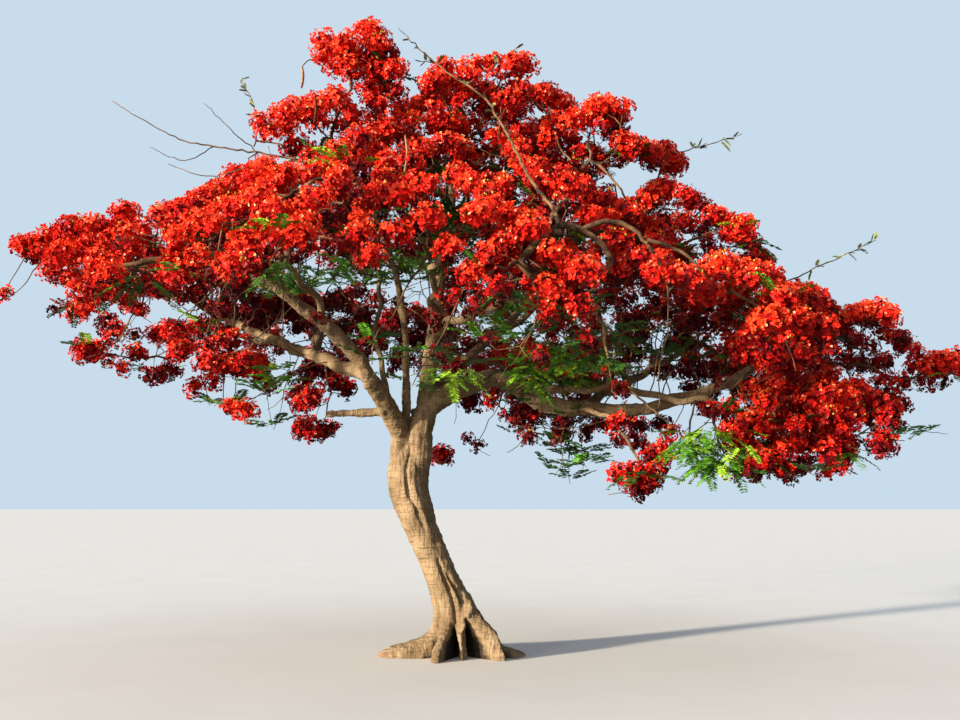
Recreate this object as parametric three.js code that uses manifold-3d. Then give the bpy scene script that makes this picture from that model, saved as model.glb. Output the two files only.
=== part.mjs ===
// A flame tree in full flower: one leaning trunk with a buttressed foot, boughs that
// spread from a low fork, and an umbrella crown built of separate masses of blossom and leaf.
// Millimetres, +Z up, +X to the viewer's right, +Y away from the viewer.
// The origin is the centre of the flat cut under the trunk, at ground level.
import * as THREE from "three";
import { mergeVertices } from "three/addons/utils/BufferGeometryUtils.js";
import Module from "manifold-3d";

const wasm = await Module();
wasm.setup();

// Driving dimensions
const METRE = 1000;
const SEAM = 0.3; // gap between pieces that touch
const TRUNK = {
  height: 2.8 * METRE,
  lean: 0.68 * METRE, // how far the stem stands left of the foot
  leanEnds: 2.3 * METRE, // height where the lean straightens
  footOffset: 0.08 * METRE,
  radius: 0.195 * METRE,
  swell: 0.05 * METRE, // old swelling under the fork
  swellHeight: 1.95 * METRE,
  swellSpan: 0.42 * METRE,
  forkStarts: 0.8, // share of the height above which the stem widens into the fork
  forkWidening: 0.085 * METRE,
  forkShift: 0.055 * METRE, // back to the right, under the two stems
  flare: 0.12 * METRE, // widening all round at the ground
  flareHeight: 0.35 * METRE, // height over which it dies away
  rootFade: 0.24, // share of a root's height over which it fades
  sides: 24,
  rings: 9,
  crowding: 1.7, // rings crowd together near the ground, where the flare changes fastest
};
// Roots and fins of the foot: direction in degrees from +X towards +Y, reach from the
// stem, the height at which each has half died away, and how narrow it is.
const ROOTS = [
  { name: "right root", direction: 2, reach: 0.36 * METRE, height: 0.09 * METRE, narrow: 9 },
  { name: "right fin", direction: -22, reach: 0.19 * METRE, height: 0.62 * METRE, narrow: 9 },
  { name: "back right root", direction: 48, reach: 0.34 * METRE, height: 0.2 * METRE, narrow: 12 },
  { name: "back root", direction: 100, reach: 0.42 * METRE, height: 0.16 * METRE, narrow: 12 },
  { name: "back left root", direction: 145, reach: 0.36 * METRE, height: 0.26 * METRE, narrow: 12 },
  { name: "left root", direction: 187, reach: 0.58 * METRE, height: 0.16 * METRE, narrow: 16 },
  { name: "left fin", direction: 200, reach: 0.13 * METRE, height: 0.4 * METRE, narrow: 8 },
  { name: "front root", direction: 247, reach: 0.46 * METRE, height: 0.24 * METRE, narrow: 26 },
  { name: "front right root", direction: 297, reach: 0.3 * METRE, height: 0.36 * METRE, narrow: 30 },
];

// Turns three numbers in metres into a point in millimetres.
const at = (x, y, z) => new THREE.Vector3(x, y, z).multiplyScalar(METRE);

// Boughs. from: the limb it leaves, along: how far along that limb, into: the mass where
// it ends, arch and bow: how far its middle stands above and beside the straight line, in
// metres, radii: at its start and its end, in metres.
const BOUGHS = [
  { name: "left_bough", start: at(-0.63, -0.02, 2.64), into: "mass_rim_8",
    arch: 0.4, bow: -0.5, radii: [0.15, 0.065] },
  { name: "left_lower_bough", from: "left_bough", along: 0.28, into: "mass_rim_6",
    arch: -0.05, bow: 0.02, radii: [0.088, 0.045] },
  { name: "left_front_bough", from: "left_bough", along: 0.5, into: "mass_rim_9",
    arch: 0.16, bow: 0.1, radii: [0.058, 0.035] },
  { name: "far_left_bough", from: "left_bough", along: 0.72, into: "mass_rim_7",
    arch: 0.06, bow: -0.12, radii: [0.055, 0.035] },
  { name: "left_drooping_bough", from: "left_lower_bough", along: 0.5, into: "mass_left_hanging",
    arch: 0.06, bow: 0.06, radii: [0.036, 0.024] },
  { name: "pruned_stub", from: "left_bough", along: 0.1, tip: at(-1.54, -0.3, 2.86),
    arch: 0.01, bow: 0, radii: [0.055, 0.042] },
  { name: "left_stem", start: at(-0.63, 0.04, 2.64), into: "mass_shoulder_left",
    arch: 0.31, bow: -0.52, radii: [0.055, 0.032] },
  { name: "left_riser", from: "left_bough", along: 0.12, into: "mass_top_2",
    arch: 0.1, bow: -0.15, radii: [0.036, 0.024] },
  { name: "right_stem", start: at(-0.45, 0, 2.62), tip: at(-0.41, 0.03, 3.06),
    arch: 0, bow: 0.01, radii: [0.17, 0.15] },
  { name: "leader", from: "right_stem", along: 0.8, into: "mass_crown_centre",
    arch: 0.09, bow: -0.03, radii: [0.105, 0.05] },
  { name: "right_bough", from: "right_stem", along: 0.7, tip: at(1.09, 0.3, 3.06),
    arch: 0.36, bow: 0, radii: [0.145, 0.12] },
  { name: "right_outer_bough", from: "right_bough", along: 1, into: "mass_rim_1",
    arch: -0.44, bow: 0.05, radii: [0.112, 0.055] },
  { name: "right_low_bough", from: "right_bough", along: 0.8, into: "mass_right_hanging",
    arch: 0.14, bow: -0.15, radii: [0.06, 0.035] },
  { name: "right_drooping_bough", from: "right_outer_bough", along: 0.12, into: "mass_right_low",
    arch: 0.1, bow: -0.05, radii: [0.036, 0.024] },
  { name: "right_upper_bough", from: "leader", along: 0.05, into: "mass_middle_2",
    arch: 0.08, bow: 0.05, radii: [0.078, 0.04] },
  { name: "right_high_bough", from: "right_upper_bough", along: 0.36, into: "mass_middle_1",
    arch: 0.1, bow: 0.12, radii: [0.048, 0.03] },
  { name: "right_front_bough", from: "leader", along: 0.26, into: "mass_rim_11",
    arch: 0.2, bow: 0.1, radii: [0.055, 0.034] },
  { name: "front_bough", from: "leader", along: 0.36, into: "mass_rim_10",
    arch: 0.1, bow: 0.1, radii: [0.045, 0.03] },
  { name: "back_bough", from: "leader", along: 0.12, into: "mass_rim_4",
    arch: 0.12, bow: 0.1, radii: [0.075, 0.04] },
  { name: "back_low_bough", from: "back_bough", along: 0.36, into: "mass_back_hanging",
    arch: 0.06, bow: 0.05, radii: [0.04, 0.026] },
  { name: "back_left_bough", from: "left_lower_bough", along: 0.3, into: "mass_rim_5",
    arch: 0.1, bow: 0.1, radii: [0.055, 0.035] },
  { name: "back_right_bough", from: "right_outer_bough", along: 0.15, into: "mass_rim_2",
    arch: 0.12, bow: 0.2, radii: [0.065, 0.038] },
];
const BOUGH_SIDES = 6;
const STEP_LENGTH = 0.66 * METRE; // of a bough's facets
const ENTRY = 0.72; // how far out from a mass's centre a bough ends, as a share of its reach

// The crown, in metres. Each list holds eight compass values: right, back right, back,
// back left, left, front left, front, front right.
const CROWN = {
  centre: new THREE.Vector2(-0.1, 0.2),
  apex: 7.3,
  reach: [6.2, 5.8, 5.4, 5.5, 5.5, 4.5, 3.9, 4.5],
  rimTop: [3.75, 4.2, 4.5, 4.7, 4.85, 4.45, 4.15, 3.35], // height of the top at the rim
  fall: [1.35, 1.3, 1.3, 1.2, 1.0, 0.95, 1.1, 1.1], // under 1 hollow, over 1 domed
};
// Rings of masses: share of the reach, how many, first direction in degrees, and
// half sizes outward, around and through, in metres.
const RINGS = [
  { name: "top", share: 0.28, count: 4, first: 40, half: [1.05, 1.2, 0.45] },
  { name: "middle", share: 0.56, count: 8, first: 6, half: [1.05, 1.4, 0.47] },
  { name: "rim", share: 0.85, count: 12, first: 2, half: [0.95, 1.4, 0.45] },
];
// Masses that stand out of the rings: place and half sizes along X, Y and Z, in metres.
const NAMED_MASSES = [
  { name: "mass_crown_centre", place: [0.1, 0.2, 6.85], half: [0.85, 0.8, 0.4] },
  { name: "mass_tuft_left", place: [-1.2, -0.9, 7.08], half: [0.48, 0.42, 0.58] },
  { name: "mass_shoulder_left", place: [-1.55, -0.7, 6.25], half: [0.95, 0.7, 0.5] },
  { name: "mass_shoulder_right", place: [1.6, -0.6, 6.25], half: [0.9, 0.75, 0.5] },
  { name: "mass_tuft_right", place: [0.62, -0.8, 6.8], half: [0.8, 0.5, 0.4] },
  { name: "mass_left_tip", place: [-5.3, -0.5, 4.62], half: [0.42, 0.5, 0.3] },
  { name: "mass_left_hanging", place: [-3.9, 0.0, 3.72], half: [0.8, 0.8, 0.38] },
  { name: "mass_left_low", place: [-2.8, 0.5, 3.42], half: [0.75, 0.65, 0.36] },
  { name: "mass_right_tip", place: [5.85, -0.4, 3.42], half: [0.5, 0.5, 0.32] },
  { name: "mass_right_hanging", place: [4.0, -1.1, 2.7], half: [0.95, 0.75, 0.6] },
  { name: "mass_right_low", place: [2.15, -0.7, 2.5], half: [0.45, 0.45, 0.54] },
  { name: "mass_inner_leaves", place: [1.3, 0.0, 3.44], half: [0.75, 0.5, 0.26] },
  { name: "mass_back_hanging", place: [1.2, 3.3, 3.7], half: [0.95, 0.7, 0.62] },
];
const SLOPE_STEP = 0.05; // share of the reach over which the crown's slope is taken
const NEIGHBOUR_RANGE = 1.35; // masses further apart than this share of their reaches don't meet
// The waves that make a mass uneven: height as a share of its size, waves along X, Y and Z,
// and how far each mass's number shifts them.
const WAVES = [
  { height: 0.1, along: new THREE.Vector3(3.1, 2.3, 0), shift: 1.7 },
  { height: 0.09, along: new THREE.Vector3(0, 4.3, -3.7), shift: 2.9 },
  { height: 0.07, along: new THREE.Vector3(4.6, 0, 5.2), shift: -1.3 },
];

const bark = new THREE.MeshStandardMaterial({ color: 0xb08a5e, roughness: 0.9, metalness: 0 });
const blossom = new THREE.MeshStandardMaterial({ color: 0xd8260f, roughness: 0.7, metalness: 0 });
const leaf = new THREE.MeshStandardMaterial({ color: 0x4c7a1e, roughness: 0.75, metalness: 0 });

const UP = new THREE.Vector3(0, 0, 1);
const LAST_RING = 0.999; // share of the length beyond which a ring is the far end
const radians = THREE.MathUtils.degToRad;
const smooth = (t) => THREE.MathUtils.smoothstep(t, 0, 1);

// A three.js geometry as a closed solid.
function solidOf(geometry) {
  const bare = geometry.clone();
  bare.deleteAttribute("normal");
  bare.deleteAttribute("uv");
  const merged = mergeVertices(bare, 1e-3);
  return new wasm.Manifold(
    new wasm.Mesh({
      numProp: 3,
      vertProperties: new Float32Array(merged.attributes.position.array),
      triVerts: new Uint32Array(merged.index.array),
    }),
  );
}

// The largest body of a solid that a cut has left in several.
function largestBody(solid) {
  const bodies = solid.decompose();
  return bodies.reduce((best, body) => (body.volume() > best.volume() ? body : best));
}

function meshOf(name, solid, material) {
  const mesh = solid.getMesh();
  const geometry = new THREE.BufferGeometry();
  geometry.setAttribute("position", new THREE.BufferAttribute(mesh.vertProperties, 3));
  geometry.setIndex(new THREE.BufferAttribute(mesh.triVerts, 1));
  geometry.computeVertexNormals();
  const made = new THREE.Mesh(geometry, material);
  made.name = name;
  return made;
}

// Moves every vertex of a unit shape by place(point).
function reshape(geometry, place) {
  const positions = geometry.attributes.position;
  const point = new THREE.Vector3();
  for (let i = 0; i < positions.count; i++) {
    point.fromBufferAttribute(positions, i);
    place(point);
    positions.setXYZ(i, point.x, point.y, point.z);
  }
  return geometry;
}

// Trunk
// From 0 below the fork to 1 at the top of the trunk.
function nearFork(z) {
  return smooth((z / TRUNK.height - TRUNK.forkStarts) / (1 - TRUNK.forkStarts));
}

function trunkCentre(z) {
  const lean = TRUNK.lean * smooth(z / TRUNK.leanEnds);
  return new THREE.Vector3(TRUNK.footOffset - lean + TRUNK.forkShift * nearFork(z), 0, z);
}

function trunkRadius(z, angle) {
  const fromSwell = (z - TRUNK.swellHeight) / TRUNK.swellSpan;
  const stem =
    TRUNK.radius + TRUNK.swell * Math.exp(-fromSwell * fromSwell) + TRUNK.forkWidening * nearFork(z);
  let flare = TRUNK.flare * Math.exp(-z / TRUNK.flareHeight);
  for (const root of ROOTS) {
    const facing = Math.max(0, Math.cos(angle - radians(root.direction)));
    const fade = 1 / (1 + Math.exp((z - root.height) / (TRUNK.rootFade * root.height)));
    flare += root.reach * fade * Math.pow(facing, root.narrow);
  }
  return stem + flare;
}

// The trunk, or the trunk grown by extra all round, to cut its seam in a neighbour.
function makeTrunk(extra = 0) {
  const shape = new THREE.CylinderGeometry(1, 1, 1, TRUNK.sides, TRUNK.rings);
  reshape(shape, (p) => {
    const along = p.y + 0.5;
    const z = TRUNK.height * Math.pow(along, TRUNK.crowding);
    const centre = trunkCentre(z);
    const angle = Math.atan2(-p.z, p.x);
    const radius = Math.hypot(p.x, p.z) * (trunkRadius(z, angle) + extra);
    const lift = along > LAST_RING ? extra : 0;
    p.set(centre.x + radius * Math.cos(angle), centre.y + radius * Math.sin(angle), z + lift);
  });
  return solidOf(shape);
}

// Boughs
function boughPath(start, tip, arch, bow) {
  const side = new THREE.Vector3().subVectors(tip, start).cross(UP).normalize();
  const middle = new THREE.Vector3()
    .addVectors(start, tip)
    .multiplyScalar(0.5)
    .addScaledVector(UP, 2 * arch * METRE)
    .addScaledVector(side, 2 * bow * METRE);
  return new THREE.QuadraticBezierCurve3(start, middle, tip);
}

// One tapering limb: a cylinder laid along its path, or the same grown by extra.
function makeBough(path, radii, extra = 0) {
  const steps = Math.max(3, Math.round(path.getLength() / STEP_LENGTH));
  const shape = new THREE.CylinderGeometry(1, 1, 1, BOUGH_SIDES, steps);
  reshape(shape, (p) => {
    const along = p.y + 0.5;
    const tangent = path.getTangentAt(along);
    const side = new THREE.Vector3().crossVectors(UP, tangent).normalize();
    const over = new THREE.Vector3().crossVectors(tangent, side);
    const radius = METRE * THREE.MathUtils.lerp(radii[0], radii[1], along) + extra;
    const onPath = path.getPointAt(along);
    if (along > LAST_RING) onPath.addScaledVector(tangent, extra);
    // The cylinder's own z and x become the limb's sideways and upward directions.
    const offset = side.multiplyScalar(p.z * radius).addScaledVector(over, p.x * radius);
    p.copy(onPath).add(offset);
  });
  return solidOf(shape);
}

// Crown masses
// The value in a direction, eased between the two nearest of eight compass values.
function byDirection(values, angle) {
  const turn = (angle / (2 * Math.PI)) * values.length;
  const before = Math.floor(turn);
  const pick = (i) => values[((i % values.length) + values.length) % values.length];
  return THREE.MathUtils.lerp(pick(before), pick(before + 1), smooth(turn - before));
}

// A point on the crown's top, at a share of the reach in a direction.
function crownPoint(share, angle) {
  const reach = share * byDirection(CROWN.reach, angle);
  const fall = byDirection(CROWN.fall, angle);
  const drop = (CROWN.apex - byDirection(CROWN.rimTop, angle)) * Math.pow(share, fall);
  return at(
    CROWN.centre.x + reach * Math.cos(angle),
    CROWN.centre.y + reach * Math.sin(angle),
    CROWN.apex - drop,
  );
}

// A shallow, repeatable unevenness for a direction on a mass.
function unevenness(direction, number) {
  return WAVES.reduce(
    (sum, wave) => sum + wave.height * Math.sin(direction.dot(wave.along) + wave.shift * number),
    0,
  );
}

// One uneven mass: a ball stretched to its half sizes and turned to lie on the crown.
function makeMass({ centre, axes, half }, number) {
  const shape = new THREE.OctahedronGeometry(1, 3);
  const turned = new THREE.Matrix4().makeBasis(...axes);
  reshape(shape, (p) => {
    p.multiplyScalar(1 + unevenness(p, number));
    p.set(p.x * half[0], p.y * half[1], p.z * half[2]).multiplyScalar(METRE);
    p.applyMatrix4(turned).add(centre);
  });
  return solidOf(shape);
}

function listMasses() {
  const list = [];
  for (const ring of RINGS) {
    for (let i = 0; i < ring.count; i++) {
      const angle = radians(ring.first) + (2 * Math.PI * i) / ring.count;
      const surface = crownPoint(ring.share, angle);
      const outer = crownPoint(ring.share + SLOPE_STEP, angle);
      const outward = new THREE.Vector3().subVectors(outer, surface).normalize();
      const around = new THREE.Vector3(-Math.sin(angle), Math.cos(angle), 0);
      const through = new THREE.Vector3().crossVectors(outward, around).normalize();
      const sideways = new THREE.Vector3().crossVectors(through, outward);
      const centre = surface.addScaledVector(through, -ring.half[2] * METRE);
      const axes = [outward, sideways, through];
      list.push({ name: `mass_${ring.name}_${i + 1}`, centre, axes, half: ring.half });
    }
  }
  const straight = [new THREE.Vector3(1, 0, 0), new THREE.Vector3(0, 1, 0), UP];
  for (const { name, place, half } of NAMED_MASSES) {
    list.push({ name, centre: at(...place), axes: straight, half });
  }
  return list;
}

// How far a mass reaches from its centre in a direction.
function reachTowards(mass, direction) {
  const inverse = mass.axes.reduce(
    (sum, axis, i) => sum + Math.pow(axis.dot(direction) / (mass.half[i] * METRE), 2),
    0,
  );
  return 1 / Math.sqrt(inverse);
}

// The point just inside a mass where a bough that comes from start enters it.
function entryPoint(mass, start) {
  const back = new THREE.Vector3().subVectors(start, mass.centre).normalize();
  return mass.centre.clone().addScaledVector(back, ENTRY * reachTowards(mass, back));
}

// Neighbouring masses meet face to face: each is trimmed by the plane between the two.
function trimByNeighbours(masses) {
  for (const mass of masses) {
    for (const other of masses) {
      if (other === mass) continue;
      const between = new THREE.Vector3().subVectors(other.centre, mass.centre);
      const distance = between.length();
      between.normalize();
      const mine = reachTowards(mass, between);
      const theirs = reachTowards(other, between);
      if (distance > NEIGHBOUR_RANGE * (mine + theirs)) continue;
      const share = (distance * mine) / (mine + theirs);
      const offset = mass.centre.dot(between) + share - SEAM / 2;
      mass.solid = mass.solid.trimByPlane([-between.x, -between.y, -between.z], -offset);
    }
  }
}

// Assembly
const tree = new THREE.Group();
tree.add(meshOf("trunk", makeTrunk(), bark));

const masses = listMasses();
const limbs = [makeTrunk(SEAM)];
const paths = {};
for (const bough of BOUGHS) {
  const start = bough.start ?? paths[bough.from].getPointAt(bough.along);
  const tip = bough.tip ?? entryPoint(masses.find((mass) => mass.name === bough.into), start);
  const path = boughPath(start, tip, bough.arch, bough.bow);
  paths[bough.name] = path;
  let solid = makeBough(path, bough.radii);
  for (const earlier of limbs) solid = solid.subtract(earlier);
  limbs.push(makeBough(path, bough.radii, SEAM));
  tree.add(meshOf(bough.name, largestBody(solid), bark));
}

masses.forEach((mass, i) => {
  mass.solid = makeMass(mass, i);
});
trimByNeighbours(masses);
for (const mass of masses) {
  let solid = mass.solid;
  for (const limb of limbs) solid = solid.subtract(limb);
  const material = mass.name === "mass_inner_leaves" ? leaf : blossom;
  tree.add(meshOf(mass.name, largestBody(solid), material));
}

export default tree;
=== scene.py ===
"""The looks of a flame tree in full flower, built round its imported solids.

Metres, +Z up, +X to the viewer's right, +Y away from the viewer. The limbs repeat the driving sizes
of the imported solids. Twigs grow on from them by a seeded branching rule to the trusses of flowers and
sprays of leaves that fill the masses of the crown. Columns and rows are pixels of the photograph.
"""
import math
from collections import namedtuple

import bmesh
import bpy
import numpy as np
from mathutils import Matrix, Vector, noise
from mathutils.bvhtree import BVHTree


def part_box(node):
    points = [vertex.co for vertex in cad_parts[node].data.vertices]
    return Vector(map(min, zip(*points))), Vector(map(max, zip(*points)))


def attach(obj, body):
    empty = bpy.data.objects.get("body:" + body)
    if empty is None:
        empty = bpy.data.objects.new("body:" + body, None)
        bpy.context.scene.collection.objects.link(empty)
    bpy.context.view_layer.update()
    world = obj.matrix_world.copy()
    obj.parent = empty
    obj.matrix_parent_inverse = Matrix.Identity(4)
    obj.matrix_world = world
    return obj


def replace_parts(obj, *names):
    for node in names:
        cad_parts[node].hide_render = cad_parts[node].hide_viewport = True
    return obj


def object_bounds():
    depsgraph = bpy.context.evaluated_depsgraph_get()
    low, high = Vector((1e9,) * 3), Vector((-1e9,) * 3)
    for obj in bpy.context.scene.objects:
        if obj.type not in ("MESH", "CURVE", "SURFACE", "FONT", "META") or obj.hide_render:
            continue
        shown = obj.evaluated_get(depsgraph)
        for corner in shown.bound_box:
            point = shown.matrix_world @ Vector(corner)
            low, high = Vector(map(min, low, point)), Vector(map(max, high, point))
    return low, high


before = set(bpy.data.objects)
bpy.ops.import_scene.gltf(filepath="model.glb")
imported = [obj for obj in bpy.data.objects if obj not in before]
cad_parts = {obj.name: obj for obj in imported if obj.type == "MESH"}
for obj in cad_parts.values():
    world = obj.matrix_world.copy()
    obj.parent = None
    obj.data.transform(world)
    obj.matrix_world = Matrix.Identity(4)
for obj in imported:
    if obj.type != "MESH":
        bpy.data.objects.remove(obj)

CAD_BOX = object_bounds()
SEED = 11
chance = np.random.default_rng(SEED)
UP = np.array([0.0, 0.0, 1.0])
RIGHTWARD = np.array([1.0, 0.0, 0.0])
STEEP = 0.9  # a direction whose Z is higher than this counts as upright

# The photograph's camera
PHOTO_WIDTH = 960
PHOTO_HEIGHT = 720
FOCAL = 970.0  # pixels
PITCH = math.radians(8.62)  # upwards
EYE = np.array([0.31, -12.0, 1.75])
FORWARD = np.array([0, math.cos(PITCH), math.sin(PITCH)])
UPWARD = np.array([0, -math.sin(PITCH), math.cos(PITCH)])
SENSOR = 36.0  # millimetres

# Light
SUN_FROM = (-0.82, -0.53, 0.165)  # low, from the left front
SUN_STRENGTH = 9.4
SUN_SPREAD = math.radians(4)
SUN_COLOUR = (1.0, 0.86, 0.68)
GLOW_FROM = (-0.64, -0.76, 0.1)  # a soft glow that reaches in under the crown
GLOW_STRENGTH = 1.5
GLOW_SPREAD = math.radians(24)
SKY_LIGHT = (0.72, 0.84, 1.0, 1)
GROUND_LIGHT = (0.34, 0.29, 0.24, 1)
SKY_STRENGTH = 0.6
BACKDROP = "C8DCEB"
FLOOR_SIZE = 1500.0

# Trunk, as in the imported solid
TRUNK_HEIGHT = 2.8
LEAN = 0.68
LEAN_ENDS = 2.3
FOOT_OFFSET = 0.08
STEM_RADIUS = 0.195
LEAST_RADIUS = 0.09
SWELL = 0.05
SWELL_HEIGHT = 1.95
SWELL_SPAN = 0.42
FORK_STARTS = 0.8
FORK_SHIFT = 0.055
FLARE = 0.12
FLARE_HEIGHT = 0.35
ROOT_FADE = 0.24
CROWN_OF_TRUNK = 2.1  # height where the trunk begins to close between its stems
CLOSED_AT = 2.62
# Roots and fins of the foot: direction in degrees, reach, height, narrowness
ROOTS = [
    (2, 0.36, 0.09, 9), (-22, 0.19, 0.62, 9), (48, 0.34, 0.2, 12), (100, 0.42, 0.16, 12),
    (145, 0.36, 0.26, 12), (187, 0.58, 0.16, 16), (200, 0.13, 0.4, 8), (246, 0.38, 0.26, 26),
    (320, 0.29, 0.34, 28),
]
# Arched hollows between the roots. The direction and the half width are in degrees.
Hollow = namedtuple("Hollow", "direction width height inner")
HOLLOWS = {
    "left": Hollow(260, 11, 0.42, 0.08),
    "right": Hollow(299, 13, 0.52, 0.1),
    "right side": Hollow(328, 9, 0.3, 0.24),
    "back right": Hollow(72, 11, 0.4, 0.2),
    "back left": Hollow(122, 9, 0.34, 0.2),
    "left side": Hollow(222, 9, 0.26, 0.24),
}
HOLLOW_EDGE = 3.2  # how sharp the hollows' edges are
# Folds, creases and old wounds. course: heights and directions in degrees, from below; width: in
# degrees; depth: below zero where it stands out; fade: height over which its ends fade.
Fold = namedtuple("Fold", "course width depth fade")
FOLDS = {
    "narrow root": Fold([(-0.3, 274), (0.28, 275), (0.46, 294)], 7, -0.12, 0.12),
    "buttress corner": Fold([(0.36, 286), (0.58, 314), (0.68, 326)], 7, -0.06, 0.1),
    "long crease": Fold([(0.28, 266), (0.67, 281), (1.2, 288)], 5, 0.08, 0.2),
    "knotted lens": Fold([(0.5, 291), (0.95, 293)], 6, -0.035, 0.16),
    "right crease": Fold([(0.55, 304), (1.05, 299)], 5, 0.06, 0.16),
    "right fin crease": Fold([(0.1, 345), (1.3, 330)], 7, 0.04, 0.4),
    "back crease": Fold([(0.0, 72), (1.6, 60)], 9, 0.07, 0.5),
    "back left crease": Fold([(0.0, 122), (1.2, 130)], 8, 0.06, 0.5),
    "left crease": Fold([(0.1, 222), (0.9, 226)], 7, 0.035, 0.3),
    "wound": Fold([(1.35, 288), (1.65, 281), (1.9, 272), (2.2, 274), (2.45, 288), (2.75, 300)],
        5, 0.04, 0.24),
    "right lip": Fold([(1.4, 304), (1.7, 297), (1.95, 290), (2.2, 293)], 6, -0.016, 0.26),
    "broken knob": Fold([(2.1, 297), (2.48, 312)], 9, -0.02, 0.14),
}
# Boughs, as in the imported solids. start: a place, or a bough and the share of its length where this
# one leaves it. Each tip is found from its solid.
Bough = namedtuple("Bough", "start arch bow radii")
BOUGHS = {
    "left_bough": Bough((-0.67, -0.02, 2.62), 0.4, -0.5, (0.125, 0.052)),
    "left_lower_bough": Bough(("left_bough", 0.28), -0.05, 0.02, (0.088, 0.045)),
    "left_front_bough": Bough(("left_bough", 0.5), 0.16, 0.1, (0.042, 0.03)),
    "far_left_bough": Bough(("left_bough", 0.72), 0.06, -0.12, (0.055, 0.035)),
    "left_drooping_bough": Bough(("left_lower_bough", 0.5), 0.06, 0.06, (0.036, 0.024)),
    "pruned_stub": Bough(("left_bough", 0.1), 0.01, 0, (0.055, 0.042)),
    "left_stem": Bough((-0.63, 0.04, 2.64), 0.31, -0.52, (0.055, 0.032)),
    "left_riser": Bough(("left_bough", 0.12), 0.1, -0.15, (0.036, 0.024)),
    "right_stem": Bough((-0.43, 0, 2.6), 0, 0.01, (0.16, 0.15)),
    "leader": Bough(("right_stem", 0.8), 0.09, -0.03, (0.105, 0.05)),
    "right_bough": Bough(("right_stem", 0.82), 0.36, 0, (0.122, 0.115)),
    "right_outer_bough": Bough(("right_bough", 1), -0.44, 0.05, (0.112, 0.055)),
    "right_low_bough": Bough(("right_bough", 0.8), 0.14, -0.15, (0.06, 0.035)),
    "right_drooping_bough": Bough(("right_outer_bough", 0.12), 0.1, -0.05, (0.036, 0.024)),
    "right_upper_bough": Bough(("leader", 0.05), 0.08, 0.05, (0.078, 0.04)),
    "right_high_bough": Bough(("right_upper_bough", 0.36), 0.1, 0.12, (0.048, 0.03)),
    "right_front_bough": Bough(("leader", 0.26), 0.2, 0.1, (0.055, 0.034)),
    "front_bough": Bough(("leader", 0.36), 0.1, 0.1, (0.045, 0.03)),
    "back_bough": Bough(("leader", 0.12), 0.12, 0.1, (0.075, 0.04)),
    "back_low_bough": Bough(("back_bough", 0.36), 0.06, 0.05, (0.04, 0.026)),
    "back_left_bough": Bough(("left_lower_bough", 0.3), 0.1, 0.1, (0.055, 0.035)),
    "back_right_bough": Bough(("right_outer_bough", 0.15), 0.12, 0.2, (0.065, 0.038)),
}
# These run together with the trunk in one skin. The others stand on them with a collar.
BLENDED = {
    "left_bough", "left_lower_bough", "pruned_stub", "left_stem", "right_stem", "leader", "right_bough",
    "right_outer_bough", "right_upper_bough",
}
CUT_OFF = "pruned_stub"  # the limb that carries nothing
# The stems' feet, buried in the trunk: height, shift from the middle, radius
SUNK = {
    "left_bough": (1.9, -0.065, 0.165),
    "right_stem": (1.75, 0.06, 0.18),
    "left_stem": (2.35, -0.06, 0.065),
}
TRUNK_RINGS = 240
UNDER_GROUND = 0.06  # how far the trunk's first ring lies under the ground before it is cut off there
GREAT_SIDES, LESSER_SIDES = 24, 12
COLLAR = 0.4  # how much wider a lesser limb's foot is
GREAT_COLLAR = 0.12
LUMPS = 0.05  # shallow lumps of a limb, as a share of its radius
FOLD_RELIEF, LUMP_RELIEF, RING_RELIEF = 0.012, 0.012, 0.009
HOLLOW_SHADE = "hollow_shade"  # the name of the skin's measure of how deep it lies in a hollow, which paints shade into its bark
HOLLOW_SHADE_FROM = 0.03  # how deep in a hollow the painted shade begins to darken the bark
HOLLOW_SHADE_DEPTH = 0.12
HOLLOW_SHADE_TOP = 2.2
HOLLOW_SHADE_FADE = 0.3
SKIN_GRAIN = 0.012  # size of the skin's faces before they are thinned out
SKIN_TRIANGLES = 130000
FOOT_RIM = 0.002  # the bark isn't raised lower than this


def unit(vectors):
    """Vectors at length 1."""
    vectors = np.asarray(vectors, float)
    return vectors / np.maximum(np.linalg.norm(vectors, axis=-1, keepdims=True), 1e-9)


def smooth(share):
    """Eases from 0 to 1."""
    share = np.clip(share, 0, 1)
    return share * share * (3 - 2 * share)


def about(turn, first, second):
    """The direction at a turn from the first direction towards the second."""
    return np.cos(turn) * first + np.sin(turn) * second


def round_turns(sides):
    return 2 * np.pi * np.arange(sides) / sides


def lengths_along(line):
    """How far along a line each of its points is."""
    return np.concatenate([[0], np.cumsum(np.linalg.norm(np.diff(line, axis=0), axis=1))])


def points_at(along, lengths, line):
    """The points of a line at some lengths along it."""
    return np.stack([np.interp(along, lengths, line[:, axis]) for axis in range(3)], -1)


def sight(columns, rows, depths):
    """The places that the photograph shows at columns and rows of pixels, at depths along Y."""
    columns, rows, depths = (np.asarray(values, float)[..., None] for values in (columns, rows, depths))
    ray = FORWARD + UPWARD * (PHOTO_HEIGHT / 2 - rows) / FOCAL
    ray = ray + RIGHTWARD * ((columns - PHOTO_WIDTH / 2) / FOCAL)
    return EYE + ray * (depths - EYE[1]) / ray[..., 1:2]


def seen_at(places):
    """The columns and rows where the photograph shows places, and how many pixels a metre takes there."""
    away = np.asarray(places) - EYE
    scale = FOCAL / (away @ FORWARD)
    return PHOTO_WIDTH / 2 + scale * away[..., 0], PHOTO_HEIGHT / 2 - scale * (away @ UPWARD), scale


# Finishes
def shade(code):
    """A colour written as red, green and blue in hexadecimal, as a shader's linear numbers."""
    parts = [int(code[i : i + 2], 16) / 255 for i in (0, 2, 4)]
    return tuple(p / 12.92 if p <= 0.04045 else ((p + 0.055) / 1.055) ** 2.4 for p in parts) + (1,)


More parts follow.
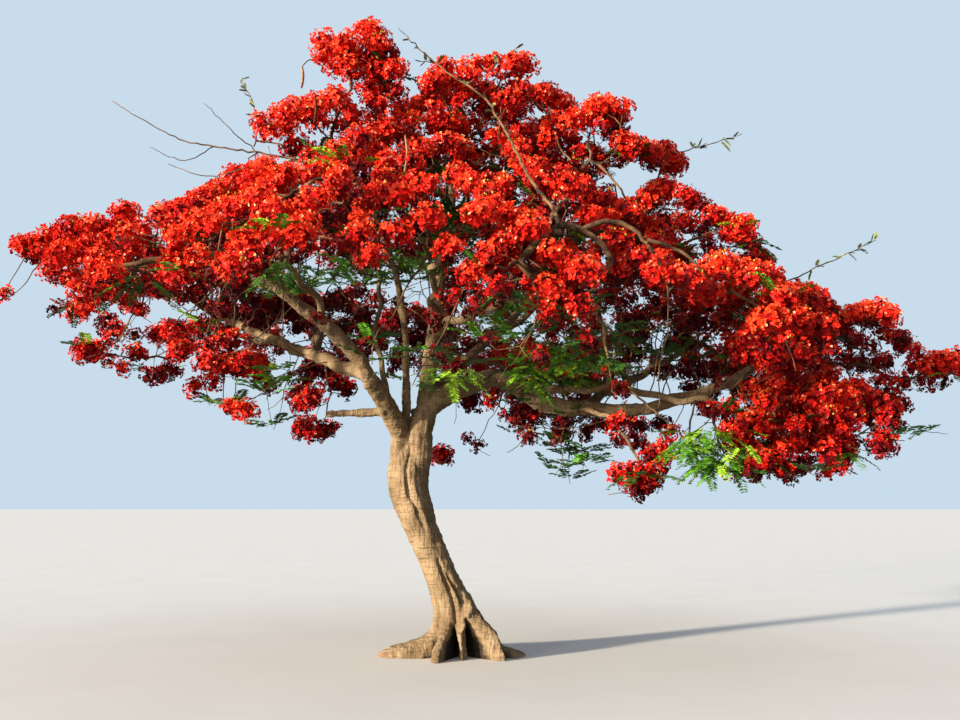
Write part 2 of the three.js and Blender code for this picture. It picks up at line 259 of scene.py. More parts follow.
class Number:
    """A number socket that adds a Math node for each sum it takes part in."""

    def __init__(self, finish, socket):
        self.finish = finish
        self.socket = socket

    def sum(self, operation, other):
        made = self.finish.node("ShaderNodeMath", {"operation": operation}, {0: self, 1: other})
        return Number(self.finish, made.outputs[0])

    def __add__(self, other):
        return self.sum("ADD", other)

    def __mul__(self, other):
        return self.sum("MULTIPLY", other)

    __radd__ = __add__
    __rmul__ = __mul__


class Nodes:
    """A node tree, built up node by node."""

    def __init__(self, tree):
        self.tree = tree

    def node(self, kind, settings, sockets):
        """Adds a node: its settings first, then the values or links of its sockets."""
        made = self.tree.nodes.new(kind)
        for key, value in settings.items():
            if key == "stops":
                for element, (place, grey) in zip(made.color_ramp.elements, value):
                    element.position = place
                    element.color = (grey, grey, grey, 1)
            else:
                setattr(made, key, value)
        for key, value in sockets.items():
            self.plug(made.inputs[key], value)
        return made

    def plug(self, socket, value):
        source = getattr(value, "socket", value)
        if isinstance(source, bpy.types.NodeSocket):
            self.tree.links.new(source, socket)
        else:
            socket.default_value = value

    def mix(self, share, first, second):
        return self.node("ShaderNodeMix", {"data_type": "RGBA"}, {0: share, 6: first, 7: second}).outputs[2]


class Finish(Nodes):
    """A material, built up round one shader."""

    def __init__(self, name, roughness, specular=0.5):
        self.material = bpy.data.materials.new(name)
        self.material.use_nodes = True
        super().__init__(self.material.node_tree)
        self.shader = self.tree.nodes["Principled BSDF"]
        self.shader.inputs["Roughness"].default_value = roughness
        self.shader.inputs["Specular IOR Level"].default_value = specular

    def place(self):
        """Where a point of the piece is, in metres."""
        return self.node("ShaderNodeTexCoord", {}, {}).outputs["Object"]

    def vectors(self, operation, first, second):
        return self.node("ShaderNodeVectorMath", {"operation": operation}, {0: first, 1: second}).outputs[0]

    def warped(self, place, scale, amount):
        """The place, pushed about by soft noise, so that patterns lose their straight lines."""
        push = self.node("ShaderNodeTexNoise", {}, {"Vector": place, "Scale": scale, "Detail": 2.0})
        return self.vectors("ADD", place, self.vectors("MULTIPLY", push.outputs[1], (amount,) * 3))

    def cloud(self, place, scale, detail):
        """Soft noise round 0.5."""
        made = self.node("ShaderNodeTexNoise", {}, {"Vector": place, "Scale": scale, "Detail": detail})
        return Number(self, made.outputs[0])

    def between(self, value, low, high):
        """0 below low, 1 above high."""
        made = self.node("ShaderNodeValToRGB", {"stops": [(low, 0), (high, 1)]}, {"Fac": value})
        return Number(self, made.outputs[0])

    def colour(self, value):
        self.plug(self.shader.inputs["Base Color"], value)

    def relief(self, height, depth):
        bump = self.node("ShaderNodeBump", {}, {"Height": height, "Distance": depth, "Strength": 1.0})
        self.plug(self.shader.inputs["Normal"], bump.outputs[0])


def bark_finish():
    """Tan bark with fine level rings of pores, upright streaks and pale and ruddy patches, and painted
    shade, near black, deep in the trunk's hollows and creases.
    """
    finish = Finish("tan_bark", 0.9, 0.2)
    place = finish.warped(finish.place(), 5.0, 0.07)
    rings = finish.cloud(finish.vectors("MULTIPLY", place, (6, 6, 44)), 1.0, 4)
    streaks = finish.cloud(finish.vectors("MULTIPLY", place, (30, 30, 3.2)), 1.0, 4)
    patches = finish.cloud(place, 3.1, 4)
    ruddy = finish.cloud(place, 6.0, 3)
    grain = finish.cloud(place, 110.0, 3)
    pale = finish.mix(finish.between(patches, 0.34, 0.66), shade("7A664A"), shade("A68F70"))
    warm = finish.mix(finish.between(ruddy, 0.56, 0.76) * 0.5, pale, shade("86593B"))
    ringed = finish.mix(finish.between(rings, 0.52, 0.7) * 0.52, warm, shade("5C4734"))
    streaked = finish.mix(finish.between(streaks, 0.54, 0.76) * 0.6, ringed, shade("463526"))
    speckled = finish.mix(finish.between(grain, 0.55, 0.8) * 0.3, streaked, shade("C0AE8E"))
    # Painted shade: the bark turns near black where the skin lies deep in a hollow or crease.
    hollow_shade = Number(finish, finish.node("ShaderNodeAttribute", {"attribute_name": HOLLOW_SHADE}, {}).outputs["Fac"])
    finish.colour(finish.mix(hollow_shade * 0.93, speckled, shade("1E1610")))
    finish.relief(rings * 0.8 + streaks * 0.8 + grain * 0.3, 0.034)
    return finish.material


def twig_finish():
    """Grey-brown twigs, paler where the skin is sound."""
    finish = Finish("grey_brown_twig", 0.85, 0.2)
    place = finish.place()
    patches = finish.cloud(place, 7.0, 3)
    finish.colour(finish.mix(finish.between(patches, 0.4, 0.62), shade("3A2A1E"), shade("7C6044")))
    finish.relief(finish.cloud(place, 70.0, 2), 0.004)
    return finish.material


def mottled_finish(name, first, second, scale, roughness):
    """Two near colours in fine mottling, for petals, leaves, buds and pods."""
    finish = Finish(name, roughness, 0.12)
    mottle = finish.cloud(finish.place(), scale, 2)
    finish.colour(finish.mix(finish.between(mottle, 0.4, 0.6), shade(first), shade(second)))
    return finish.material


def floor_finish():
    finish = Finish("pale_floor", 0.9)
    finish.colour(finish.mix(finish.cloud(finish.place(), 0.7, 2), shade("E2E1DC"), shade("ECEBE7")))
    return finish.material


# Joined pieces
def put_in_scene(name, data):
    """Makes an object of a mesh, lamp or camera."""
    made = bpy.data.objects.new(name, data)
    bpy.context.scene.collection.objects.link(made)
    return made


def make_piece(name, mesh):
    """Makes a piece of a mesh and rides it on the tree."""
    made = put_in_scene(name, mesh)
    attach(made, "root")
    return made


def read_points(mesh):
    """A mesh's points as an array."""
    points = np.empty(3 * len(mesh.vertices), np.float32)
    mesh.vertices.foreach_get("co", points)
    return points.reshape(-1, 3).astype(float)


class Batch:
    """Points and triangles that are gathered for one joined piece."""

    def __init__(self):
        self.points = []
        self.faces = []
        self.finishes = []
        self.count = 0

    def add(self, points, faces, finish=0):
        points = np.asarray(points, float).reshape(-1, 3)
        faces = np.asarray(faces, int).reshape(-1, 3)
        self.points.append(points)
        self.faces.append(faces + self.count)
        self.finishes.append(np.broadcast_to(finish, len(faces)))
        self.count += len(points)

    def add_blades(self, foot, left, tip, right, finish):
        """Adds four-cornered blades, each as two triangles that meet from its foot to its tip."""
        corners = np.stack([foot, left, tip, right], -2).reshape(-1, 3)
        first = np.arange(0, len(corners), 4)[:, None]
        self.add(corners, np.stack([first + [0, 2, 1], first + [0, 3, 2]], 1), np.repeat(finish, 2))

    def mesh(self, name, finishes, rounded=False):
        mesh = bpy.data.meshes.new(name)
        mesh.from_pydata(np.concatenate(self.points), [], np.concatenate(self.faces))
        mesh.polygons.foreach_set("material_index", np.concatenate(self.finishes).astype(np.int32))
        mesh.polygons.foreach_set("use_smooth", np.full(len(mesh.polygons), rounded))
        for finish in finishes:
            mesh.materials.append(finish)
        return mesh

    def piece(self, name, finishes, rounded=False):
        return make_piece(name, self.mesh(name, finishes, rounded))


def closed_tube(batch, rings, finish=0):
    """Adds a closed tube through rings of points, an array of rows, sides and coordinates."""
    rows, sides = rings.shape[:2]
    points = np.concatenate([rings.reshape(-1, 3), [rings[0].mean(0), rings[-1].mean(0)]])
    first = rows * sides  # the middle of the first ring, and next to it that of the last
    side = np.arange(sides)
    beside = (side + 1) % sides
    row = sides * np.arange(rows - 1)[:, None]
    here, near = (row + side).ravel(), (row + beside).ravel()
    top = sides * (rows - 1)
    faces = [
        np.stack([here, near, near + sides], 1),
        np.stack([here, near + sides, here + sides], 1),
        np.stack([np.full(sides, first), beside, side], 1),
        np.stack([np.full(sides, first + 1), top + side, top + beside], 1),
    ]
    batch.add(points, np.concatenate(faces), finish)


def rings_along(line, radii, sides, flatness=1.0):
    """Rings of points round a line, each square to it."""
    line = np.asarray(line, float)
    tangents = unit(np.gradient(line, axis=0))
    first = np.cross(tangents[0], UP if abs(tangents[0][2]) < STEEP else RIGHTWARD)
    sideways = np.empty_like(line)
    for i, tangent in enumerate(tangents):
        first = first - tangent * np.dot(first, tangent)
        first = first / max(np.linalg.norm(first), 1e-9)
        sideways[i] = first
    over = flatness * np.cross(tangents, sideways)
    around = about(round_turns(sides)[:, None], sideways[:, None], over[:, None])
    return line[:, None] + np.asarray(radii, float).reshape(len(line), -1, 1) * around


# Limbs
class Limb:
    """A bough: its middle line, evenly spaced, with a slight natural sway, and its taper."""

    SPACING = 0.05
    SWAY = 0.2  # as a share of the radius
    LOOSE = 0.03  # more sway of a lesser limb
    TAPER = 1.6

    def __init__(self, name, bough, start, tip, number):
        self.name = name
        self.radii = bough.radii
        side = unit(np.cross(tip - start, UP))
        middle = (start + tip) / 2 + 2 * bough.arch * UP + 2 * bough.bow * side
        share = np.linspace(0, 1, 200)[:, None]
        fine = (1 - share) ** 2 * start + 2 * (1 - share) * share * middle + share**2 * tip
        lengths = lengths_along(fine)
        self.length = lengths[-1]
        self.along = np.linspace(0, 1, max(4, round(self.length / self.SPACING)) + 1)
        self.line = points_at(self.along * self.length, lengths, fine) + self.sway(side, number)

    def sway(self, side, number):
        """Bends to both sides that leave the two ends in place."""
        metres = self.along * self.length
        ends = smooth(self.along * 5) * smooth((1 - self.along) * 5)
        size = (self.SWAY * self.radius(self.along) + (0 if self.name in BLENDED else self.LOOSE)) * ends
        sideways = np.sin(metres * 4.1 + number * 1.9) + 0.6 * np.sin(metres * 9.3 + number)
        upward = np.sin(metres * 5.3 + number * 2.7) + 0.6 * np.sin(metres * 11.1 - number)
        return (size * sideways)[:, None] * side + (size * upward)[:, None] * UP

    def radius(self, along):
        """Tapers fast near the foot and slowly further out."""
        return self.radii[1] + (self.radii[0] - self.radii[1]) * (1 - np.asarray(along)) ** self.TAPER


def find_tip(name, start, tip_radius):
    """The far end of a packed bough: the middle of the ring furthest from its start."""
    points = np.unique(read_points(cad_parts[name].data).round(4), axis=0)
    furthest = points[np.argmax(np.linalg.norm(points - start, axis=1))]
    return points[np.linalg.norm(points - furthest, axis=1) < 2.1 * tip_radius].mean(0)


def make_limbs():
    limbs = {}
    for number, (name, bough) in enumerate(BOUGHS.items()):
        start = bough.start
        if start[0] in limbs:
            parent = limbs[start[0]]
            start = points_at(start[1], parent.along, parent.line)
        start = np.array(start, float)
        limbs[name] = Limb(name, bough, start, find_tip(name, start, bough.radii[1]), number)
    return limbs


# Trunk
def trunk_line(z):
    """The trunk's middle at given heights."""
    near_fork = smooth((z / TRUNK_HEIGHT - FORK_STARTS) / (1 - FORK_STARTS))
    x = FOOT_OFFSET - LEAN * smooth(z / LEAN_ENDS) + FORK_SHIFT * near_fork
    return np.stack([x, np.zeros_like(z), z], -1)


def off_by(angle, direction):
    """How far an angle is from a direction in degrees, the short way round."""
    return np.abs((np.degrees(angle) - direction + 180) % 360 - 180)


def whole_radius(z, angle):
    """How far the trunk and its roots reach, without hollows and folds."""
    above = np.maximum(z, 0)
    radius = STEM_RADIUS + SWELL * np.exp(-(((z - SWELL_HEIGHT) / SWELL_SPAN) ** 2))
    radius = radius + FLARE * np.exp(-above / FLARE_HEIGHT)
    for direction, reach, height, narrow in ROOTS:
        facing = np.maximum(0, np.cos(angle - math.radians(direction)))
        radius = radius + reach * facing**narrow / (1 + np.exp((above - height) / (ROOT_FADE * height)))
    return radius


def trunk_radius(z, angle):
    """How far the trunk reaches, with its hollows, folds and closing top."""
    above = np.maximum(z, 0)
    radius = whole_radius(z, angle)
    for hollow in HOLLOWS.values():
        away = off_by(angle, hollow.direction) / hollow.width
        within = smooth(HOLLOW_EDGE * (1 - np.hypot(away, above / hollow.height)))
        radius = radius + within * np.minimum(0, hollow.inner - radius)
    for fold in FOLDS.values():
        heights, directions = zip(*fold.course)
        direction = np.interp(z, heights, directions) + 1.5 * np.sin(z * 9 + directions[0])
        window = smooth((z - heights[0]) / fold.fade) * smooth((heights[-1] - z) / fold.fade)
        radius = radius - fold.depth * window * np.exp(-((off_by(angle, direction) / fold.width) ** 2))
    closing = np.clip((z - CROWN_OF_TRUNK) / (CLOSED_AT - CROWN_OF_TRUNK), 0, 1)
    return np.maximum(radius, LEAST_RADIUS) * np.sqrt(np.maximum(1 - closing**2, 0.0004))


def trunk_rings():
    """Rings of the trunk, from just under the ground to the fork."""
    z = np.linspace(-UNDER_GROUND, CLOSED_AT, TRUNK_RINGS)[:, None]
    angle = np.linspace(0, 2 * np.pi, TRUNK_RINGS, endpoint=False)[None, :]
    around = np.stack([np.cos(angle), np.sin(angle), np.zeros_like(angle)], -1)
    return trunk_line(z[:, 0])[:, None] + trunk_radius(z, angle)[:, :, None] * around


def painted_hollow_shade(places):
    """How deep places lie in the hollows and creases of the trunk, where shade is painted dark into the
    bark: 0 to 1.
    """
    away = places - trunk_line(places[:, 2])
    depth = whole_radius(places[:, 2], np.arctan2(away[:, 1], away[:, 0])) - np.hypot(away[:, 0], away[:, 1])
    return smooth((depth - HOLLOW_SHADE_FROM) / HOLLOW_SHADE_DEPTH) * smooth((HOLLOW_SHADE_TOP - places[:, 2]) / HOLLOW_SHADE_FADE)


def sunk_line(limb):
    """A stem's line with its buried foot, which runs down inside the trunk."""
    if limb.name not in SUNK:
        return limb.line
    depth, shift, _ = SUNK[limb.name]
    start = limb.line[0]
    z = np.linspace(depth, start[2] - 0.12, 12)
    share = smooth((z - depth) / (start[2] - depth))[:, None]
    inner = trunk_line(z) + shift * RIGHTWARD
    above = start + (z - start[2])[:, None] * UP
    return np.concatenate([inner * (1 - share) + above * share, limb.line])


def limb_rings(limb, sides, collar):
    """Rings of one limb, with a collar at its foot and shallow lumps."""
    line = sunk_line(limb)
    buried = len(line) - len(limb.line)
    metres = np.concatenate([np.zeros(buried), limb.along * limb.length])
    radii = limb.radius(metres / limb.length) * (1 + collar * np.exp(-metres / (1.5 * limb.radii[0])))
    if buried:
        radii[:buried] = np.linspace(SUNK[limb.name][2], radii[buried], buried, endpoint=False)
    turn = round_turns(sides)[None]
    lumps = np.sin(3 * turn + 2.1 * metres[:, None]) + np.sin(2 * turn - 5.3 * metres[:, None] + 1)
    return rings_along(line, radii[:, None] * (1 + LUMPS * lumps), sides)


def wrinkle(place):
    """How far the bark stands out at a place: upright folds, lumps and level rings."""
    folds = noise.fractal(Vector((place[0] * 13, place[1] * 13, place[2] * 1.8)), 0.8, 2.0, 3)
    lumps = noise.noise(Vector(place) * 4.0)
    rings = noise.noise(Vector((place[0] * 3, place[1] * 3, place[2] * 24)))
    return FOLD_RELIEF * folds + LUMP_RELIEF * lumps + RING_RELIEF * rings


def applied(rough):
    """The mesh of a rough object with its modifiers applied. The object goes."""
    shown = rough.evaluated_get(bpy.context.evaluated_depsgraph_get())
    mesh = bpy.data.meshes.new_from_object(shown)
    bpy.data.objects.remove(rough)
    return mesh


def one_skin(limbs, finish):
    """Trunk, fork and great limbs run together, with soft crotches."""
    batch = Batch()
    closed_tube(batch, trunk_rings())
    for name in sorted(BLENDED):
        closed_tube(batch, limb_rings(limbs[name], GREAT_SIDES, 0 if name in SUNK else GREAT_COLLAR))
    rough = put_in_scene("rough_skin", batch.mesh("rough_skin", [finish], rounded=True))
    remesh = rough.modifiers.new("one skin", "REMESH")
    remesh.mode = "VOXEL"
    remesh.voxel_size = SKIN_GRAIN
    soften = rough.modifiers.new("soft crotches", "SMOOTH")
    soften.factor = 0.5
    soften.iterations = 5
    return applied(rough)


def raise_bark(mesh):
    """Cuts a skin off at the ground and gives it the bark's relief."""
    form = bmesh.new()
    form.from_mesh(mesh)
    everything = form.verts[:] + form.edges[:] + form.faces[:]
    cut = bmesh.ops.bisect_plane(form, geom=everything, plane_no=(0, 0, -1), clear_outer=True)["geom_cut"]
    rim = [part for part in cut if isinstance(part, bmesh.types.BMEdge)]
    bmesh.ops.contextual_create(form, geom=rim)
    form.normal_update()
    for vertex in form.verts:
        if vertex.co.z > FOOT_RIM:
            vertex.co += vertex.normal * wrinkle(vertex.co)
        vertex.co.z = max(vertex.co.z, 0.0)
    bmesh.ops.triangulate(form, faces=form.faces[:])
    form.to_mesh(mesh)
    form.free()


def make_skin(limbs, finish):
    """Trunk, fork and great limbs in one skin, its bark raised and its smooth stretches thinned out."""
    mesh = one_skin(limbs, finish)
    raise_bark(mesh)
    raw = put_in_scene("raw_skin", mesh)
    thin = raw.modifiers.new("thinned where smooth", "DECIMATE")
    thin.ratio = min(1.0, SKIN_TRIANGLES / len(mesh.polygons))
    mesh = applied(raw)
    places = read_points(mesh)
    places[:, 2] = np.maximum(places[:, 2], 0)
    mesh.vertices.foreach_set("co", places.ravel())
    # The painted shade of the hollows, kept on the skin for the bark's colour.
    mesh.attributes.new(HOLLOW_SHADE, "FLOAT", "POINT").data.foreach_set("value", painted_hollow_shade(places))
    mesh.materials.clear()
    mesh.materials.append(finish)
    mesh.polygons.foreach_set("use_smooth", np.full(len(mesh.polygons), True))
    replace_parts(make_piece("trunk_and_great_limbs", mesh), "trunk", *sorted(BLENDED))


def make_lesser_limbs(limbs, finish):
    batch = Batch()
    names = [name for name in limbs if name not in BLENDED]
    for name in names:
        closed_tube(batch, limb_rings(limbs[name], LESSER_SIDES, COLLAR))
    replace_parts(batch.piece("lesser_limbs", [finish], rounded=True), *names)


# Where trusses of flowers, sprays of leaves and bare twigs end
BLOOM, SPRAY, BARE = range(3)
MASS_PREFIX = "mass_"
LEAFY_MASS = "mass_inner_leaves"
SAMPLES = 16000
PROBE = 0.12  # how far above a mass's face is looked for a neighbour
UNDERSIDE = -0.2  # a face whose normal's Z is lower than this belongs to the underside
UPPER_SIDE = 0.4  # and one whose normal's Z is higher than this to the upper side
TOP_SPACING = 0.29
UNDER_SPACING = 0.32
UPPER_CLOSER = 0.08  # how much closer the trusses stand on the upper side
BACK_CLOSER = 0.14  # and at the back, where each has fewer, wider flowers
BACK_FEWER = 0.3
BACK_WIDER = 0.14
BACK_FROM, BACK_SPAN = 0.4, 1.0  # where along Y the back begins, and over what depth
TOP_SIZES = (0.12, 0.2)
UNDER_SIZES = (0.08, 0.15)
SUNK_IN = (0.1, 1.3)  # how deep an end lies under the mass's face, as a share of its size
LEAFY_UNDER = 0.1  # share of the underside's ends that are leaves
# Loose ends hang below the underside, fewer towards this distance from the crown's middle
NEAR_TRUNK = 4.6
NEAR_TRUNK_FADE = 1.5
CROWN_MIDDLE = 0.2  # along X
LOOSE_SHARE = 0.8  # share of the underside's ends there that have a loose one below
LOOSE_SIZES = (0.06, 0.13)
LOOSE_FALL = (0.2, 0.9)
LOOSE_ASIDE = 0.25
LOOSE_KINDS = (0.4, 0.2, 0.4)  # shares of trusses, leaves and bare twigs among them
# Tones: 0 is the brightest finish. They carry painted light and shade: the sun's side and the top are
# painted brighter, the underside darker.
MIDDLE_TONE = 0.95
TONE_SPREAD = 0.35
TOP_BRIGHTER = 0.5
TOP_FROM, TOP_SPAN = 5.6, 1.2
UNDER_DARKER = 1.1
SHADED_TRUSS = 3.3
# Painted light and shade of the leaves: deeper tones on loose ends and under the crown, brighter in the
# open.
LOOSE_SPRAY = 1.9
UNDER_SPRAY = 1.8
OPEN_SPRAY = 0.8

# The crown's upper outline in the photograph: columns and rows
OUTLINE = [
    (0, 284), (6, 284), (10, 237), (30, 232), (50, 222), (80, 204), (100, 196), (150, 204), (180, 201),
    (200, 192), (222, 178), (242, 158), (256, 104), (302, 88), (307, 32), (320, 27), (341, 42),
    (348, 30), (364, 10), (378, 20), (398, 50), (404, 72), (432, 74), (440, 53), (458, 64), (476, 56),
    (500, 50), (530, 52), (541, 86), (553, 82), (572, 107), (592, 104), (597, 86), (613, 82), (626, 98),
    (636, 138), (645, 146), (656, 130), (684, 162), (712, 205), (745, 216), (762, 250), (778, 280),
    (815, 284), (835, 312), (856, 302), (884, 297), (905, 338), (935, 352), (960, 346),
]
# The crown's lower outline
LOWER_EDGE = [
    (0, 306), (17, 306), (23, 260), (46, 266), (58, 324), (80, 362), (120, 374), (170, 394), (240, 420),
    (300, 442), (345, 466), (430, 470), (480, 460), (520, 472), (560, 488), (600, 498), (640, 502),
    (665, 494), (690, 474), (745, 482), (790, 487), (860, 478), (890, 460), (925, 440), (960, 390),
]
TRUSS_EDGE = 0.9  # how much of a truss's size counts at the outline
MOST_MOVED = 0.6
STANDS_OUT = 0.15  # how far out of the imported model's box flowers and leaves may stand
SPRAY_REACH = 0.42
BEHIND_ALL = 9.0
# Ellipses in the photograph: middle, half sizes, the share of the ends there that changes, and the
# depth along Y before which that holds. Here ends are left out.
Spot = namedtuple("Spot", "at half share before", defaults=(BEHIND_ALL,))
OPENINGS = {
    "round gap": Spot((605, 318), (11, 11), 1.0),
    "left gap": Spot((306, 269), (19, 9), 1.0),
    "gap under the left wing": Spot((150, 310), (56, 17), 0.92),
    "gap by the left lower bough": Spot((300, 345), (14, 14), 0.9),
    "gap over the stub": Spot((285, 398), (26, 14), 0.9),
    "gap at the leader": Spot((457, 312), (9, 12), 0.8),
    "gap behind the front wall": Spot((530, 328), (14, 8), 0.8),
    "gap right of the round one": Spot((632, 300), (18, 12), 0.7),
    "gap over the right bough": Spot((700, 365), (14, 7), 0.8),
    "gap in the upper right": Spot((623, 180), (13, 10), 0.8),
    "gap in the upper middle": Spot((472, 194), (8, 6), 0.8),
    "gap over the left bough": Spot((330, 279), (46, 14), 0.85),
    "gap by the inner stem": Spot((402, 290), (30, 16), 0.7),
    "open middle": Spot((385, 272), (75, 24), 0.4),
    "open left low part": Spot((140, 345), (64, 24), 0.58),
    "open part under the middle": Spot((358, 302), (34, 18), 0.6),
    "left low mass": Spot((255, 392), (50, 18), 0.65),
    "right inner part": Spot((672, 338), (60, 44), 0.97, 0.4),
    "behind the right inner part": Spot((665, 335), (56, 36), 0.35),
    "over the hanging one": Spot((622, 428), (48, 36), 0.9),
    "round the bright leaves": Spot((708, 444), (30, 20), 0.85),
    "left end": Spot((6, 285), (19, 34), 0.99),
    "dark gaps on the left": Spot((265, 228), (115, 34), 0.2, -0.3),
    "dark gaps in the upper part": Spot((400, 160), (130, 44), 0.17, -0.4),
    "dark middle": Spot((446, 208), (22, 36), 0.85, -0.5),
    "dark upper middle": Spot((392, 130), (26, 9), 0.6, -0.6),
    "dark upper right": Spot((480, 150), (24, 16), 0.6, -0.8),
    "under the left end": Spot((66, 290), (22, 10), 0.7),
}
# Here ends turn into leaves.
GREEN_PLACES = {
    "over the left boughs": Spot((285, 285), (42, 16), 0.6),
    "middle": Spot((385, 275), (50, 18), 0.6),
    "right of the leader": Spot((505, 320), (28, 26), 0.6),
}
# How much of each limb the sun reaches, and the share of the ends in its way that is left out
SUNLIT = {"right_stem": 1.0, "leader": 0.5, "left_bough": 0.6, "right_bough": 0.6, "left_lower_bough": 0.4}
SUN_GAPS = 0.65
SPRAY_SHADE = 0.28  # how far round its middle a spray keeps the sun off
TRUSS_SHADE = 1.1  # and a truss, as a share of its size
CLEAR_OF_LIMB = 0.4  # an end nearer to a limb than this doesn't shade it
# More ends, each group round a place in the photograph. half: half sizes in pixels; depths: along Y; tone:
# painted light and shade, low where the sun falls and high in the crown's shade.
UPRIGHT = (0, -0.3, 0.8)
HANGING = (0, -0.8, -0.8)  # leaves that hang towards the viewer
USUAL_TONE = 1.3
USUAL_SIZE = 0.14
USUAL = (USUAL_TONE, BLOOM, USUAL_SIZE, UPRIGHT)
Group = namedtuple("Group", "at half depths count tone kind size axis", defaults=USUAL)
GROUPS = {
    "beside the left tuft": Group((382, 96), (20, 13), (-1.2, -0.2), 9),
    "top of the left tuft": Group((362, 30), (12, 10), (-1.2, -0.7), 4, 0.5),
    "middle of the left tuft": Group((364, 64), (15, 15), (-1.2, -0.6), 6),
    "right of the left tuft": Group((402, 66), (12, 8), (-1.1, -0.7), 3, 0.6),
    "left of the right tuft": Group((440, 70), (13, 7), (-1.1, -0.7), 4, 0.6),
    "over the right shoulder": Group((676, 168), (10, 8), (0.1, 0.6), 3, 0.8),
    "left end": Group((34, 247), (16, 6), (-0.7, -0.3), 6, 0.5),
    "left tip": Group((21, 243), (9, 3), (-0.7, -0.5), 4, 0.5, size=0.1),
    "apart at the left end": Group((6, 295), (3, 3), (-0.6, -0.5), 2, 1, size=0.1),
    "top middle": Group((513, 106), (24, 20), (-1.4, 0.0), 9),
    "right shoulder": Group((664, 150), (18, 16), (0.0, 1.0), 8),
    "under the right shoulder": Group((610, 146), (26, 14), (-0.4, 0.6), 7),
    "front wall": Group((508, 250), (30, 34), (-2.6, -1.7), 16),
    "foot of the front wall": Group((562, 290), (40, 22), (-2.7, -2.0), 14),
    "right wall": Group((778, 344), (40, 36), (-1.9, -0.5), 32),
    "right skirt": Group((805, 412), (62, 34), (-1.5, 0.3), 40),
    "right skirt, low left": Group((755, 440), (22, 24), (-1.6, -0.6), 12),
    "right skirt, low middle": Group((778, 463), (12, 14), (-1.6, -0.8), 5),
    "right skirt, low right": Group((832, 458), (24, 18), (-1.6, -0.6), 9),
    "right skirt, outer": Group((880, 400), (34, 18), (-0.6, 0.6), 10),
    "hanging middle right": Group((640, 478), (22, 13), (-0.9, -0.3), 8),
    "hanging middle right, upper": Group((658, 456), (9, 6), (-0.8, -0.4), 2),
    "over the hanging one": Group((640, 430), (26, 22), (-0.4, 0.8), 6, 3.4),
    "under the right bough": Group((560, 424), (56, 20), (0.4, 1.8), 20, 3.2),
    "right of the fork": Group((463, 396), (12, 10), (0.3, 0.9), 4, 2.4),
    "right of the trunk": Group((436, 455), (7, 7), (0.6, 1.0), 2, 1.5),
    "left of the fork": Group((345, 386), (12, 8), (-0.3, 0.4), 3, 2.2),
    "left of the stub": Group((306, 402), (12, 12), (-0.5, 0.2), 4, 2),
    "under the stub": Group((322, 428), (26, 10), (0.0, 0.8), 5, 2.2),
    "low left end": Group((240, 409), (14, 8), (-0.9, -0.5), 3, 0.5),
    "left low row": Group((222, 352), (42, 10), (-1.5, -0.7), 10, 0.8),
    "left low strings": Group((110, 350), (34, 12), (-0.9, -0.2), 5),
    "behind the left boughs": Group((325, 320), (40, 26), (0.8, 2.4), 17, 3.4),
    "behind the leader": Group((415, 340), (56, 24), (1.4, 3.0), 16, 3.6),
    "behind on the left": Group((262, 312), (36, 20), (0.6, 2.0), 12, 3.4),
    "left low strings, upper": Group((118, 300), (44, 14), (-1.0, -0.4), 7, 0.7, size=0.11),
    "behind on the right": Group((720, 385), (80, 30), (0.6, 2.2), 30, 3.5),
    "dark trusses by the inner stem": Group((356, 334), (30, 24), (0.6, 2.6), 9, 3.5),
    "dark trusses under the left bough": Group((322, 376), (26, 14), (0.2, 1.2), 9, 2.8),
    "bare twigs on the right": Group((620, 332), (90, 46), (-0.4, 2.4), 150, kind=BARE),
    "bare twigs in the middle": Group((410, 290), (120, 50), (-0.7, 1.8), 110, kind=BARE),
    "bare twigs on the left": Group((200, 320), (80, 34), (-1.2, 1.0), 36, kind=BARE),
    "bare twigs under the right bough": Group((520, 425), (70, 26), (0.0, 1.6), 6, kind=BARE),
    "left spray": Group((205, 318), (20, 8), (-1.6, -1.2), 4, 0.6, SPRAY),
    "leaves over the left boughs": Group((282, 288), (32, 12), (-1.0, -0.2), 7, 0.8, SPRAY),
    "leaves in the middle": Group((384, 272), (54, 18), (-1.0, 0.4), 20, 1.6, SPRAY),
    "dark leaves in the middle": Group((452, 206), (20, 32), (-0.9, 0.2), 9, 1.9, SPRAY),
    "bare twigs among the trusses": Group((370, 180), (170, 60), (-1.8, 0.0), 60, kind=BARE),
    "bare twigs in the dark middle": Group((448, 205), (24, 40), (-1.2, 0.2), 20, kind=BARE),
    "bright leaves at the fork": Group((450, 372), (34, 6), (-0.8, -0.4), 5, 0, SPRAY, axis=HANGING),
    "leaves over the right bough": Group((556, 366), (64, 18), (-1.0, 0.4), 20, 1.0, SPRAY, axis=HANGING),
    "leaves right of the leader": Group((500, 322), (22, 22), (-0.8, 0.2), 7, 0.9, SPRAY),
    "dark leaves on the right": Group((635, 350), (50, 20), (-0.4, 1.4), 12, 2.2, SPRAY),
    "dark trusses on the right": Group((660, 335), (46, 28), (0.6, 2.8), 20, 3.8),
    "low leaves in the middle": Group((562, 462), (34, 20), (0.4, 1.4), 9, 1.6, SPRAY),
    "bright leaves on the right": Group((712, 446), (34, 20), (-1.5, -1.1), 20, 0.5, SPRAY, axis=HANGING),
    "right low leaves": Group((900, 440), (18, 9), (-0.3, 0.2), 3, 1, SPRAY),
    "leaves left of the stub": Group((264, 384), (24, 12), (-0.8, 0.0), 6, 1.2, SPRAY),
}


class Sites:
    """The ends of twigs. Each field is an array with a row for each end."""

    FIELDS = ("centres", "axes", "sizes", "tones", "kinds")

    def __init__(self, *fields):
        for field, values in zip(self.FIELDS, fields):
            setattr(self, field, np.asarray(values))

    def fields(self):
        return [getattr(self, field) for field in self.FIELDS]

    def with_more(self, other):
        return Sites(*map(np.concatenate, zip(self.fields(), other.fields())))

    def chosen(self, rows):
        return Sites(*[values[rows] for values in self.fields()])


